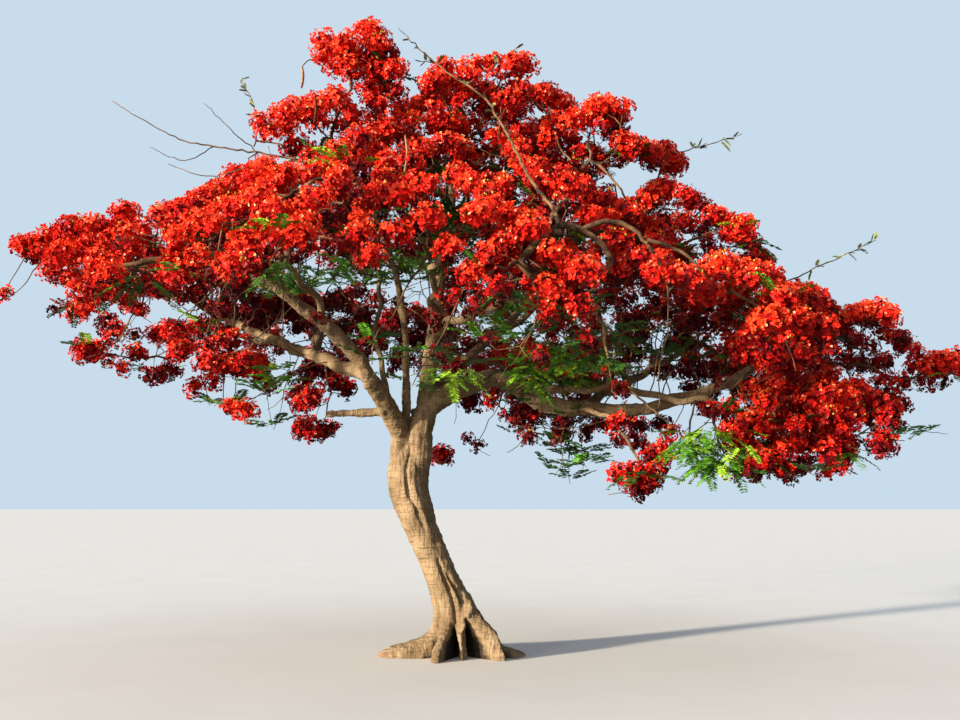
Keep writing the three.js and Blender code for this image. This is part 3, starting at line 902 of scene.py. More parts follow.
def mass_faces():
    """All masses as corners and triangles, and which triangles are the leafy mass's."""
    corners, triangles, leafy = [], [], []
    count = 0
    for name in sorted(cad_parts):
        if not name.startswith(MASS_PREFIX):
            continue
        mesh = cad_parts[name].data
        mesh.calc_loop_triangles()
        corners.append(read_points(mesh))
        triangles.append(np.array([triangle.vertices[:] for triangle in mesh.loop_triangles]) + count)
        leafy.append(np.full(len(triangles[-1]), name == LEAFY_MASS))
        count += len(corners[-1])
    return np.concatenate(corners), np.concatenate(triangles), np.concatenate(leafy)


def scatter_on_masses():
    """Points all over the open faces of the masses: place, outward direction, whether leafy."""
    corners, triangles, leafy = mass_faces()
    a, b, c = (corners[triangles[:, i]] for i in range(3))
    cross = np.cross(b - a, c - a)
    area = np.linalg.norm(cross, axis=1)
    pick = chance.choice(len(triangles), SAMPLES, p=area / area.sum())
    first, second = chance.random((2, SAMPLES))
    over = first + second > 1
    first[over], second[over] = 1 - first[over], 1 - second[over]
    places = a[pick] + first[:, None] * (b - a)[pick] + second[:, None] * (c - a)[pick]
    normals = unit(cross)[pick]
    tree = BVHTree.FromPolygons(corners.tolist(), triangles.tolist())
    clear = []
    for place, normal in zip(places, normals):
        probe = Vector(place + PROBE * normal)
        nearest, facing, _, _ = tree.find_nearest(probe)
        clear.append((probe - nearest).dot(facing) > 0)
    clear = np.array(clear)
    return places[clear], normals[clear], leafy[pick][clear]


def at_back(places):
    """1 for places at the back of the crown, 0 for those at its front."""
    return smooth((places[:, 1] - BACK_FROM) / BACK_SPAN)


def spaced(places, spacings):
    """Which places to keep so that no two are nearer than their spacing."""
    kept = []
    held = np.empty((len(places), 3))
    for i, (place, spacing) in enumerate(zip(places, spacings)):
        near = held[: len(kept)] - place
        if len(kept) and (np.einsum("ij,ij->i", near, near) < spacing**2).any():
            continue
        held[len(kept)] = place
        kept.append(i)
    return np.array(kept)


def deal_sun_and_shade_tones(places, normals, under):
    """Painted light and shade: bright flowers where the low sun falls and at the top, deeper ones elsewhere,
    with a random spread.
    """
    light = normals @ unit(SUN_FROM)
    top = smooth((places[:, 2] - TOP_FROM) / TOP_SPAN)
    dealt_out = MIDDLE_TONE - light - TOP_BRIGHTER * top + UNDER_DARKER * under
    return dealt_out + chance.normal(0, TONE_SPREAD, len(normals))


def ends_on_masses():
    """Ends all over the crown's surface. Under it some of them are leaves."""
    places, normals, leafy = scatter_on_masses()
    under = normals[:, 2] < UNDERSIDE
    closer = BACK_CLOSER * at_back(places) + UPPER_CLOSER * (normals[:, 2] > UPPER_SIDE)
    keep = spaced(places, np.where(under, UNDER_SPACING, TOP_SPACING) * (1 - closer))
    places, normals, leafy, under = places[keep], normals[keep], leafy[keep], under[keep]
    total = len(places)
    sizes = np.where(under, chance.uniform(*UNDER_SIZES, total), chance.uniform(*TOP_SIZES, total))
    depth = chance.uniform(*SUNK_IN, total) * sizes
    axes = unit(0.6 * normals + 0.4 * UP + chance.normal(0, 0.2, normals.shape))
    kinds = np.where(leafy | (under & (chance.random(total) < LEAFY_UNDER)), SPRAY, BLOOM)
    # Painted shade: leaves under the crown get a deeper tone than those in the open.
    leaf_tones = np.where(under, UNDER_SPRAY, OPEN_SPRAY)
    tones = np.where(kinds == SPRAY, leaf_tones, deal_sun_and_shade_tones(places, normals, under))
    return Sites(places - depth[:, None] * normals, axes, sizes, tones, kinds), under


def ends_below(sites, under):
    """Loose ends that droop from the underside round the trunk: dark trusses, leaves and bare twigs."""
    reach = np.hypot(sites.centres[:, 0] - CROWN_MIDDLE, sites.centres[:, 1])
    near_trunk = smooth((NEAR_TRUNK - reach) / NEAR_TRUNK_FADE)
    chosen = np.flatnonzero(under & (chance.random(len(under)) < LOOSE_SHARE * near_trunk))
    total = len(chosen)
    fall = chance.uniform(*LOOSE_FALL, total)
    aside = chance.normal(0, LOOSE_ASIDE, (total, 2))
    centres = sites.centres[chosen] + np.column_stack([aside, -fall])
    axes = unit(np.column_stack([chance.normal(0, 0.5, (total, 2)), np.full(total, 0.6)]))
    kinds = chance.choice([BLOOM, SPRAY, BARE], total, p=LOOSE_KINDS)
    # Painted shade: the loose leaves below the crown get a deep tone, like the shaded trusses.
    tones = np.where(kinds == BLOOM, SHADED_TRUSS, LOOSE_SPRAY)
    return Sites(centres, axes, chance.uniform(*LOOSE_SIZES, total), tones, kinds)


def ends_in_groups():
    """The ends that the photograph shows apart from the masses."""
    made = None
    for group in GROUPS.values():
        total = group.count
        angle = chance.uniform(0, 2 * np.pi, total)
        out = np.sqrt(chance.random(total))
        columns = group.at[0] + group.half[0] * out * np.cos(angle)
        rows = group.at[1] + group.half[1] * out * np.sin(angle)
        centres = sight(columns, rows, chance.uniform(*group.depths, total))
        axes = unit(chance.normal(0, 0.35, (total, 3)) + group.axis)
        tones = group.tone + chance.normal(0, 0.4, total)
        sizes = group.size * chance.uniform(0.72, 1.28, total)
        more = Sites(centres, axes, sizes, tones, np.full(total, group.kind))
        made = more if made is None else made.with_more(more)
    return made


def within_outline(sites):
    """Moves the ends that would stand out of the crown's outline in the photograph, or of its box."""
    columns, rows, scale = seen_at(sites.centres)
    margin = TRUSS_EDGE * sites.sizes * scale
    over = np.maximum(0, np.interp(columns, *zip(*OUTLINE)) + margin - rows) / scale
    beneath = np.maximum(0, rows + margin - np.interp(columns, *zip(*LOWER_EDGE))) / scale
    sites.centres[:, 2] += np.minimum(beneath, MOST_MOVED) - np.minimum(over, MOST_MOVED)
    reach = np.where(sites.kinds == BLOOM, FURTHEST * sites.sizes + FLOWER_REACH, SPRAY_REACH) - STANDS_OUT
    lowest, highest = np.array(CAD_BOX)
    sites.centres = np.clip(sites.centres, lowest + reach[:, None], highest - reach[:, None])
    return sites


def within(spot, columns, rows):
    """Whether pixels lie within a spot's ellipse."""
    return np.hypot((columns - spot.at[0]) / spot.half[0], (rows - spot.at[1]) / spot.half[1]) < 1


def opened(sites, fixed):
    """Thins out the ends in the openings and turns some into leaves. The fixed ones stay."""
    columns, rows, _ = seen_at(sites.centres)
    stay = np.ones(len(columns), bool)
    for opening in OPENINGS.values():
        taken = within(opening, columns, rows) & (chance.random(len(stay)) < opening.share)
        taken &= sites.centres[:, 1] < opening.before
        stay &= ~taken | (fixed & (opening.share < 1))
    for green in GREEN_PLACES.values():
        turned = within(green, columns, rows) & ~fixed & (chance.random(len(stay)) < green.share)
        sites.kinds[turned] = SPRAY
        sites.tones[turned] = chance.uniform(0.4, 2.2, turned.sum())
    return sites.chosen(stay)


def sunlit(sites, limbs):
    """Which ends stay when those that keep the sun from the fork and the limbs about it are thinned out."""
    sun = unit(SUN_FROM)
    lines = [limbs[name].line for name in SUNLIT]
    lit = np.concatenate([line[: round(share * len(line))] for line, share in zip(lines, SUNLIT.values())])
    away = sites.centres[:, None] - lit[None]
    towards = away @ sun
    aside = np.linalg.norm(away - towards[..., None] * sun, axis=2)
    reach = np.where(sites.kinds == SPRAY, SPRAY_SHADE, TRUSS_SHADE * sites.sizes)
    shading = ((towards > CLEAR_OF_LIMB) & (aside < reach[:, None])).any(1)
    return ~(shading & (chance.random(len(shading)) < SUN_GAPS))


def cleared(sites, shoots):
    """Takes away the ends in front of the shoots that show over the flowers."""
    columns, rows, _ = seen_at(sites.centres)
    stay = np.ones(len(columns), bool)
    for line, _, shoot in shoots:
        line_columns, line_rows, _ = seen_at(line)
        gaps = np.hypot(columns[:, None] - line_columns, rows[:, None] - line_rows)
        in_front = sites.centres[:, 1] - sites.sizes < line[gaps.argmin(1), 1]
        stay &= ~((gaps.min(1) < shoot.clear) & in_front)
    return sites.chosen(stay)


# The branching rule
STEP = 0.16  # what a twig grows in a turn
ARRIVAL = 0.19  # a twig that comes this near to an end is joined to it
MOST_TURNS = 90
ONWARD = 0.45  # how much a twig keeps its direction, strays from it and turns upwards
WANDER = 0.18
RISE = 0.08
TWIG_TIP = 0.0045  # radius of a twig that carries one end
THICKEST = 0.1  # the thickest limb that twigs grow on
CROOK = 0.011  # how crooked the twigs are
PIPE = 2.25  # the powers of the radii of two twigs that join add up to this power
EASING = 4  # how many times the kinks are straightened
RUNS_OUT = 1.2  # the length over which a limb that runs on as a twig loses its own radius
THICK_TWIG = 0.025  # a twig of a larger radius has seven sides
SLIM_TWIG = 0.011  # a slimmer one has three, and all others five


class Growth:
    """A plant's skeleton: places, each with its parent, grown towards goals."""

    def __init__(self, limbs):
        places, parents, radii = [], [], []
        self.tips = {}  # the radius at each limb's end, from where it runs on as a twig
        for limb in limbs.values():
            rows = [row for row in range(0, len(limb.line), 3) if limb.radius(limb.along[row]) < THICKEST]
            if not rows or limb.name == CUT_OFF:
                continue
            for row in rows:
                parents.append(len(places) - 1 if row > rows[0] else -1)
                places.append(limb.line[row])
                radii.append(float(limb.radius(limb.along[row])))
            self.tips[len(places) - 1] = limb.radii[1]
        self.places = np.array(places)
        self.parents = np.array(parents)
        self.least = np.array(radii)  # least radius of each place
        self.limb_count = len(places)
        self.headings = np.zeros_like(self.places)
        self.weights = np.zeros(len(places))
        self.held = np.ones(len(places), bool)  # places that aren't straightened

    def add(self, places, parents, headings, least=0.0, held=False):
        """Adds places. Gives the number of the first one."""
        first = len(self.places)
        total = len(places)
        self.places = np.concatenate([self.places, places])
        self.parents = np.concatenate([self.parents, parents])
        self.headings = np.concatenate([self.headings, headings])
        self.least = np.concatenate([self.least, np.broadcast_to(least, total)])
        self.weights = np.concatenate([self.weights, np.zeros(total)])
        self.held = np.concatenate([self.held, np.full(total, held)])
        return first

    def lay(self, line, radii):
        """Adds a shoot of a known course. It grows on from the nearest limb or twig."""
        end = self.grow(line[:1])[0]
        headings = unit(np.gradient(line, axis=0))
        first = self.add(line, np.arange(len(line)) + len(self.places) - 1, headings, radii, held=True)
        self.parents[first] = end
        loads = (radii / TWIG_TIP) ** PIPE
        self.weights[first:] = loads - np.append(loads[1:], 0)

    def grow(self, goals):
        """Grows step by step: every goal pulls the nearest place, until a place arrives near it."""
        gaps = np.linalg.norm(goals[:, None] - self.places[None], axis=2)
        nearest = gaps.argmin(1)
        distance = gaps.min(1)
        ends = np.full(len(goals), -1)
        for _ in range(MOST_TURNS):
            arrived = (ends < 0) & (distance < ARRIVAL)
            ends[arrived] = nearest[arrived]
            waiting = np.flatnonzero(ends < 0)
            if not len(waiting):
                break
            pulls = unit(goals[waiting] - self.places[nearest[waiting]])
            growing, owner = np.unique(nearest[waiting], return_inverse=True)
            total = np.zeros((len(growing), 3))
            np.add.at(total, owner, pulls)
            wander = chance.normal(0, WANDER, total.shape)
            heading = unit(unit(total) + ONWARD * self.headings[growing] + RISE * UP + wander)
            first = self.add(self.places[growing] + STEP * heading, growing, heading)
            gaps = np.linalg.norm(goals[waiting][:, None] - self.places[None, first:], axis=2)
            better = gaps.min(1) < distance[waiting]
            nearest[waiting[better]] = first + gaps.argmin(1)[better]
            distance[waiting[better]] = gaps.min(1)[better]
        return np.where(ends < 0, nearest, ends)

    def weigh(self, ends):
        """How much each place carries, and the radius that this gives it."""
        load = self.weights.copy()
        np.add.at(load, ends, 1)
        for i in range(len(self.places) - 1, -1, -1):
            if self.parents[i] >= 0:
                load[self.parents[i]] += load[i]
        self.load = load
        self.radii = np.maximum(TWIG_TIP * np.maximum(load, 1) ** (1 / PIPE), self.least)
        self.radii[self.held] = self.least[self.held]

    def ease(self):
        """Straightens the kinks of the grown twigs, and leaves them a little crooked."""
        grown = np.flatnonzero(~self.held & (self.load > 0))
        for _ in range(EASING):
            sums = np.zeros_like(self.places)
            counts = np.zeros(len(self.places))
            np.add.at(sums, self.parents[grown], self.places[grown])
            np.add.at(counts, self.parents[grown], 1)
            inner = grown[counts[grown] > 0]
            middle = (self.places[self.parents[inner]] + sums[inner] / counts[inner][:, None]) / 2
            self.places[inner] = 0.5 * self.places[inner] + 0.5 * middle
        self.places[inner] += chance.normal(0, CROOK, (len(inner), 3))

    def chains(self):
        """The twigs, each as a list of places from the one it leaves to its end."""
        children = {}
        for i in range(self.limb_count, len(self.places)):
            if self.load[i] > 0:
                children.setdefault(self.parents[i], []).append(i)
        starts = []
        follow = {}
        for parent, young in children.items():
            young.sort(key=lambda i: -self.load[i])
            if parent >= self.limb_count:
                follow[parent] = young[0]
                young = young[1:]
            starts.extend((parent, i) for i in young)
        for parent, i in starts:
            chain = [parent, i]
            while i in follow:
                i = follow[i]
                chain.append(i)
            yield chain


def draw_twigs(growth, batch):
    """One tapering tube for each twig, with a collar where it leaves its parent."""
    for chain in growth.chains():
        line = growth.places[chain]
        radii = growth.radii[chain].copy()
        parent = chain[0]
        if parent in growth.tips:
            radii = np.maximum(radii, growth.tips[parent] * (1 - lengths_along(line) / RUNS_OUT))
            radii[0] = growth.tips[parent]
        else:
            radii[0] = min(1.25 * radii[1], 0.8 * radii[0])
        radii[-1] = min(radii[-1], TWIG_TIP)
        sides = 7 if radii[0] > THICK_TWIG else 5 if radii[0] > SLIM_TWIG else 3
        closed_tube(batch, rings_along(line, radii, sides))


# Shoots that stand out of the crown or lie over its front. course: columns and rows in the
# photograph; depths: along Y at the two ends; clear: pixels on both sides that are kept free of
# trusses; young: how many young leaves it carries; bears: trusses grow on from it.
Shoot = namedtuple("Shoot", "course depths radii clear young bears", defaults=(0, 0, False))
SHOOTS = {
    "front arch": Shoot([(520, 262), (538, 240), (560, 223), (581, 228), (602, 242), (612, 262)],
        (-2.75, -2.9), (0.042, 0.026), 13, bears=True),
    "front arch right": Shoot([(583, 229), (609, 219), (633, 227), (656, 257), (668, 288)],
        (-2.85, -2.7), (0.03, 0.014), 9, bears=True),
    "front arch tip": Shoot([(648, 240), (672, 247), (694, 260), (708, 280)],
        (-2.8, -2.6), (0.022, 0.01), 8, bears=True),
    "long dark shoot": Shoot([(560, 236), (557, 214), (529, 178), (511, 141), (486, 98), (444, 70),
        (413, 43), (398, 28)], (-2.9, -0.5), (0.022, 0.005), 5, 10),
    "left bare shoot": Shoot([(300, 160), (254, 152), (184, 142), (144, 121), (112, 101)],
        (-1.0, -0.9), (0.014, 0.004)),
    "left bare shoot, upper": Shoot([(254, 150), (227, 126), (204, 103)], (-0.95, -0.9), (0.009, 0.004)),
    "left bare shoot, middle": Shoot([(215, 146), (190, 162), (168, 157), (150, 147)],
        (-0.95, -0.9), (0.008, 0.004)),
    "left bare shoot, lower": Shoot([(250, 166), (211, 178), (188, 172), (168, 164)],
        (-1.1, -0.9), (0.009, 0.004)),
    "left upright shoot": Shoot([(254, 146), (259, 122), (252, 98), (240, 80)],
        (-0.6, -0.5), (0.01, 0.004), young=12),
    "top shoot": Shoot([(470, 92), (445, 70), (430, 62), (415, 60)], (-0.8, -0.7), (0.01, 0.004), young=9),
    "top shoot, right": Shoot([(480, 80), (506, 56), (520, 46)], (-1.1, -1.2), (0.008, 0.004), young=5),
    "upper right shoot": Shoot([(660, 158), (690, 149), (716, 143), (742, 134)],
        (0.5, 0.7), (0.01, 0.004), young=14),
    "right shoot": Shoot([(780, 284), (801, 275), (838, 258), (876, 240)],
        (-0.4, -0.2), (0.01, 0.004), young=16),
    "upper right dark branch": Shoot([(590, 160), (606, 171), (618, 184), (630, 204)],
        (-1.3, -1.5), (0.018, 0.01), 6, bears=True),
    "left front limb": Shoot([(330, 176), (312, 181), (288, 196), (262, 210), (236, 227)],
        (-2.1, -2.3), (0.024, 0.012), 7, bears=True),
    "left end twig": Shoot([(40, 262), (20, 290), (2, 300)], (-0.6, -0.6), (0.008, 0.004)),
    "pale low shoot": Shoot([(628, 388), (640, 399), (655, 412), (676, 430)], (-0.6, -1.0), (0.016, 0.008)),
    "right low twig": Shoot([(890, 412), (915, 430), (948, 434)], (-0.1, 0.0), (0.006, 0.003)),
    "pod twig on the left tuft": Shoot([(322, 66), (318, 58), (306, 59), (302, 67)],
        (-0.4, -0.5), (0.009, 0.006)),
}
SHOOT_STEP = 0.07
SHOOT_CROOK = 0.006


def shoot_line(shoot):
    """A shoot's middle line, rounded at its corners, and its radii."""
    columns, rows = zip(*shoot.course)
    corners = sight(columns, rows, np.linspace(*shoot.depths, len(columns)))
    lengths = lengths_along(corners)
    steps = max(4, round(lengths[-1] / SHOOT_STEP))
    line = points_at(np.linspace(0, lengths[-1], steps + 1), lengths, corners)
    for _ in range(3):
        line[1:-1] = (line[:-2] + 2 * line[1:-1] + line[2:]) / 4
    line[1:-1] += chance.normal(0, SHOOT_CROOK, line[1:-1].shape)
    return line, np.linspace(*shoot.radii, len(line))


# Pods: where each hangs in the photograph, its depth along Y, its length and its finish
Pod = namedtuple("Pod", "at depth length finish")
PODS = [
    Pod((302, 66), -0.5, 0.29, 0),
    Pod((315, 98), -1.5, 0.3, 1),
    Pod((405, 135), -2.0, 0.42, 0),
    Pod((752, 214), -0.2, 0.3, 1),
]
POD_WIDTH = 0.06
POD_THICKNESS = 0.014
POD_STALK = 0.004
SEEDS = 10
# Finishes: name, two near colours, closeness of the mottling, roughness
POD_FINISHES = [
    ("tan_pod", "8A6248", "A87C5A", 30.0, 0.6),
    ("brown_pod", "3E2416", "5C3A24", 30.0, 0.6),
]
# Petal tones from flame to deep: partly the flowers' own spread of reds, partly lit and shaded copies that
# paint light and shade.
PETAL_FINISHES = [
    ("flame_petal", "F8512A", "F03A18", 34.0, 0.5),
    ("vermilion_petal", "E8301C", "D82212", 34.0, 0.5),
    ("scarlet_petal", "C41A12", "AC120E", 34.0, 0.5),
    ("crimson_petal", "8E0C10", "740910", 34.0, 0.5),
    ("deep_petal", "58070C", "44060A", 34.0, 0.6),
    ("pale_petal", "F0B48C", "EE7C50", 60.0, 0.5),
    ("green_bud", "A8A43C", "C0A840", 60.0, 0.5),
]
SCARLET, CRIMSON, DEEP, PALE, BUD = range(2, 7)
# Leaves in tones from painted sunlit to painted shaded, with random spread, then the young leaves' own
# colour.
LEAF_FINISHES = [
    ("fresh_leaf", "8CBE2C", "A4D040", 40.0, 0.6),
    ("green_leaf", "4A8820", "66A02E", 40.0, 0.6),
    ("dark_leaf", "2A4E1A", "3C6222", 40.0, 0.6),
    ("young_leaf", "6E7C4A", "8E9460", 40.0, 0.6),
]
SHADED_LEAF, YOUNG_LEAF = 2, 3


def draw_pod(batch, top, pod):
    """A flat, slightly curved woody pod that hangs from its stalk, with bulges over its seeds."""
    along = np.linspace(0, 1, 22)
    turn = chance.uniform(-0.5, 0.5)
    bend = 0.07 * pod.length * np.sin(np.pi * along)
    line = top + np.stack([np.cos(turn) * bend, np.sin(turn) * bend, -along * pod.length], 1)
    blade = 0.5 * np.sqrt(np.maximum(0, 1 - (2 * along - 1.1) ** 4)) + 0.06
    wide = np.where(along < 0.1, 0.12 + 4 * along, blade)
    bulges = 1 + 0.12 * np.sin(along * 2 * np.pi * SEEDS)
    radii = POD_WIDTH * np.clip(wide, 0.1, 0.55) * bulges
    closed_tube(batch, rings_along(line, radii, 8, POD_THICKNESS / POD_WIDTH * 2), pod.finish)


# Blossom
FLOWER_REACH = 0.042  # from a flower's middle to its petals' tips
GOLDEN_TURN = math.pi * (3 - math.sqrt(5))
PETALS = 5
FLOWER_SIZES = (0.78, 1.15)
PETAL_SIZES = (0.85, 1.12)
PETAL_LIFT = (-0.15, 1.0)  # radians out of the flower's plane
# As shares of a petal's length: how far its tip bends up and its edges stand up, where it begins and is
# widest, and half of how wide it is
PETAL_CURL = (-0.3, 0.1)
PETAL_FOLD = (-0.1, 0.32)
PETAL_FOOT = 0.1
PETAL_WIDEST = 0.74
PETAL_HALF_WIDTH = 0.42
PALE_SHARES = np.array([0.3, 0.25, 0.14, 0.04, 0])  # share of the flowers of each tone with a pale petal: the real pale petal, given most to the brightest tones, where it also stands for a painted highlight
FLOWERS_PER_SQUARE_METRE = 1600
TRUSS_ROUND = math.radians(122)  # how far round a truss its flowers reach
FLATTENED = 0.2  # how much lower than a ball a truss is
NEAREST, FURTHEST = 0.74, 1.08  # how far from its middle, as shares of its size
LOW_DARKER = 1.3  # how much deeper in tone its lower flowers are, as painted shade
HEARTS_PER_SQUARE_METRE = 1050
HEART_PETAL = 0.11
HEART_OUT = 0.6  # how far out in its truss a heart's petal lies
BUDDED = 0.35  # share of the trusses with buds
BUD_SIZES = (0.008, 0.014)


def square_to(axes):
    """Two directions square to each axis and to each other."""
    helper = np.where(np.abs(axes[:, 2:3]) < STEEP, UP, RIGHTWARD)
    first = unit(np.cross(axes, helper))
    return first, np.cross(axes, first)


def dealt(counts):
    """The owner of each thing when every owner has its count of them, and the thing's rank there."""
    return np.repeat(np.arange(len(counts)), counts), np.concatenate([np.arange(n) for n in counts])


def flowers_on(sites):
    """Every flower of the trusses: its place, the way it faces and its tone."""
    share = 1 - BACK_FEWER * at_back(sites.centres)
    counts = np.maximum(5, np.round(FLOWERS_PER_SQUARE_METRE * share * sites.sizes**2)).astype(int)
    owner, rank = dealt(counts)
    total = len(owner)
    share = (rank + 0.5) / counts[owner]
    polar = np.arccos(1 - share * (1 - math.cos(TRUSS_ROUND))) + chance.normal(0, 0.1, total)
    turn = rank * GOLDEN_TURN + owner * 1.7 + chance.normal(0, 0.25, total)
    first, second = square_to(sites.axes)
    axes = sites.axes[owner]
    spoke = about(polar[:, None], axes, about(turn[:, None], first[owner], second[owner]))
    reach = sites.sizes[owner] * chance.uniform(NEAREST, FURTHEST, total)
    squashed = spoke - FLATTENED * np.sum(spoke * axes, 1, keepdims=True) * axes
    places = sites.centres[owner] + reach[:, None] * squashed
    facing = unit(spoke + 0.12 * UP + chance.normal(0, 0.38, (total, 3)))
    # Painted shade: a truss's lower flowers get deeper tones.
    tones = sites.tones[owner] + LOW_DARKER * (0.3 - spoke[:, 2]) + chance.normal(0, 0.4, total)
    return places, facing, np.clip(np.round(tones), 0, DEEP).astype(int)


def draw_flowers(batch, places, facing, tones):
    """Five folded, spoon-shaped petals for each flower, one of them now and then pale."""
    total = len(places)
    first, second = square_to(facing)
    spin = chance.uniform(0, 2 * np.pi, total)[:, None] + np.arange(PETALS) * 2 * np.pi / PETALS
    lift = chance.uniform(*PETAL_LIFT, (total, PETALS))[..., None]
    length = FLOWER_REACH * (1 + BACK_WIDER * at_back(places))[:, None]
    length = length * chance.uniform(*FLOWER_SIZES, (total, 1))
    length = (length * chance.uniform(*PETAL_SIZES, (total, PETALS)))[..., None]
    places, facing = places[:, None], facing[:, None]
    spoke = about(spin[..., None], first[:, None], second[:, None])
    side = PETAL_HALF_WIDTH * np.cross(facing, spoke)
    out = about(lift, spoke, facing)
    raised = about(lift, facing, -spoke)
    curl = chance.uniform(*PETAL_CURL, (total, PETALS, 1)) * raised
    fold = chance.uniform(*PETAL_FOLD, (total, PETALS, 1)) * raised
    tone = np.repeat(tones, PETALS).reshape(total, PETALS)
    tone[chance.random(total) < PALE_SHARES[tones], 0] = PALE
    batch.add_blades(
        places + PETAL_FOOT * length * out,
        places + length * (PETAL_WIDEST * out + side + fold),
        places + length * (out + curl),
        places + length * (PETAL_WIDEST * out - side + fold),
        tone.ravel(),
    )


def draw_hearts(batch, sites):
    """Broad deep petals in the heart of each truss, in the shade of the outer flowers; their deep tones are
    painted shade.
    """
    counts = np.maximum(6, np.round(HEARTS_PER_SQUARE_METRE * sites.sizes**2)).astype(int)
    owner, _ = dealt(counts)
    total = len(owner)
    sizes = sites.sizes[owner][:, None]
    spoke = unit(chance.normal(0, 1, (total, 3)) + 0.35 * sites.axes[owner])
    middle = sites.centres[owner] + HEART_OUT * sizes * spoke
    facing = unit(spoke + chance.normal(0, 0.3, (total, 3)))
    along = about(chance.uniform(0, 2 * np.pi, total)[:, None], *square_to(facing))
    side = 0.4 * np.cross(facing, along)
    length = np.minimum(HEART_PETAL, 0.75 * sizes) * chance.uniform(0.8, 1.2, (total, 1))
    shoulder = 0.15 * along - 0.12 * facing
    batch.add_blades(
        middle - 0.5 * length * along,
        middle + length * (shoulder + side),
        middle + length * (0.5 * along - 0.1 * facing),
        middle + length * (shoulder - side),
        np.select([sites.tones[owner] < 0.8, sites.tones[owner] < 2], [SCARLET, CRIMSON], DEEP),
    )


def draw_buds(batch, sites):
    """Small green buds of eight faces above some trusses."""
    corners = np.array([[1, 0, 0], [-1, 0, 0], [0, 1, 0], [0, -1, 0], [0, 0, 1], [0, 0, -1]], float)
    upper = [[0, 2, 4], [2, 1, 4], [1, 3, 4], [3, 0, 4]]
    lower = [[2, 0, 5], [1, 2, 5], [3, 1, 5], [0, 3, 5]]
    for centre, axis, size in zip(sites.centres, sites.axes, sites.sizes):
        for _ in range(chance.integers(3, 7)):
            offset = 0.85 * axis + chance.normal(0, 0.33, 3)
            offset = offset / max(1, np.linalg.norm(offset))
            batch.add(centre + size * offset + corners * chance.uniform(*BUD_SIZES), upper + lower, BUD)


# Leaves
PINNA_PAIRS = 13
PINNA = 0.085  # length of a side blade in the middle of a leaf of the usual length
PINNA_WIDTH = 0.036
USUAL_LEAF = 0.4
BARE_STALK = 0.14  # share of a leaf's rib without side blades
RIB = 0.003  # half the width of a leaf's rib
LEAF_DROOP = (0.12, 0.4)
SPRAY_LENGTH = 0.38
YOUNG_LENGTHS = (0.08, 0.16)
LEAVES_AMONG = 0.045  # share of the trusses lower than the next height that have leaves among them
LEAVES_BELOW = 6


def draw_leaves(batch, bases, headings, lengths, tones):
    """Twice-divided leaves: a drooping rib with pairs of narrow, feathery side blades."""
    total = len(bases)
    headings = unit(headings)
    side = unit(np.cross(headings, UP) + 1e-6)
    over = np.cross(side, headings)[:, None]
    side, headings = side[:, None], headings[:, None]
    share = BARE_STALK + (1 - BARE_STALK) * (np.arange(PINNA_PAIRS)[:, None] + 0.5) / PINNA_PAIRS
    droop = chance.uniform(*LEAF_DROOP, (total, 1, 1))
    length = lengths[:, None, None]
    rib = bases[:, None] + length * share * headings - droop * length * share**2 * UP
    reach = PINNA * np.sin(np.pi * (0.12 + 0.8 * share)) ** 0.6 * (length / USUAL_LEAF)
    for hand in (-1, 1):
        lift = chance.uniform(-0.35, 0.2, (total, PINNA_PAIRS, 1))
        aim = unit(hand * side + 0.45 * headings + lift * over)
        wide = unit(np.cross(aim, over + chance.normal(0, 0.25, (total, PINNA_PAIRS, 3))))
        middle = rib + 0.45 * reach * aim
        half = 0.5 * PINNA_WIDTH * wide
        tip = rib + reach * aim - 0.12 * reach * UP
        batch.add_blades(rib, middle - half, tip, middle + half, np.repeat(tones, PINNA_PAIRS))
    ends = rib[:, [0, PINNA_PAIRS // 2, -1]]
    points = np.concatenate([ends - RIB * side, ends + RIB * side], 1)
    corner = 6 * np.arange(total)[:, None]
    faces = [corner + [0, 1, 4], corner + [0, 4, 3], corner + [1, 2, 5], corner + [1, 5, 4]]
    batch.add(points, np.stack(faces, 1), np.repeat(tones, 4))


def draw_sprays(batch, sites, counts):
    """Leaves that spread round the end of each twig."""
    owner, rank = dealt(counts)
    turn = rank * GOLDEN_TURN + owner
    around = np.stack([np.cos(turn), np.sin(turn), chance.uniform(-0.15, 0.35, len(owner))], 1)
    headings = unit(around + 0.55 * sites.axes[owner])
    bases = sites.centres[owner] + 0.05 * around
    lengths = SPRAY_LENGTH * chance.uniform(0.7, 1.15, len(owner))
    tones = np.round(sites.tones[owner] + chance.normal(0, 0.35, len(owner)))
    draw_leaves(batch, bases, headings, lengths, np.clip(tones, 0, SHADED_LEAF).astype(int))


def draw_young_leaves(batch, line, count):
    """Small young leaves along the outer part of a shoot."""
    along = chance.uniform(0.35, 1.0, count) * (len(line) - 1)
    bases = line[np.round(along).astype(int)]
    headings = unit(chance.normal(0, 1, (count, 3)) + 1.2 * unit(line[-1] - line[0]) + 0.4 * UP)
    draw_leaves(batch, bases, headings, chance.uniform(*YOUNG_LENGTHS, count), np.full(count, YOUNG_LEAF))


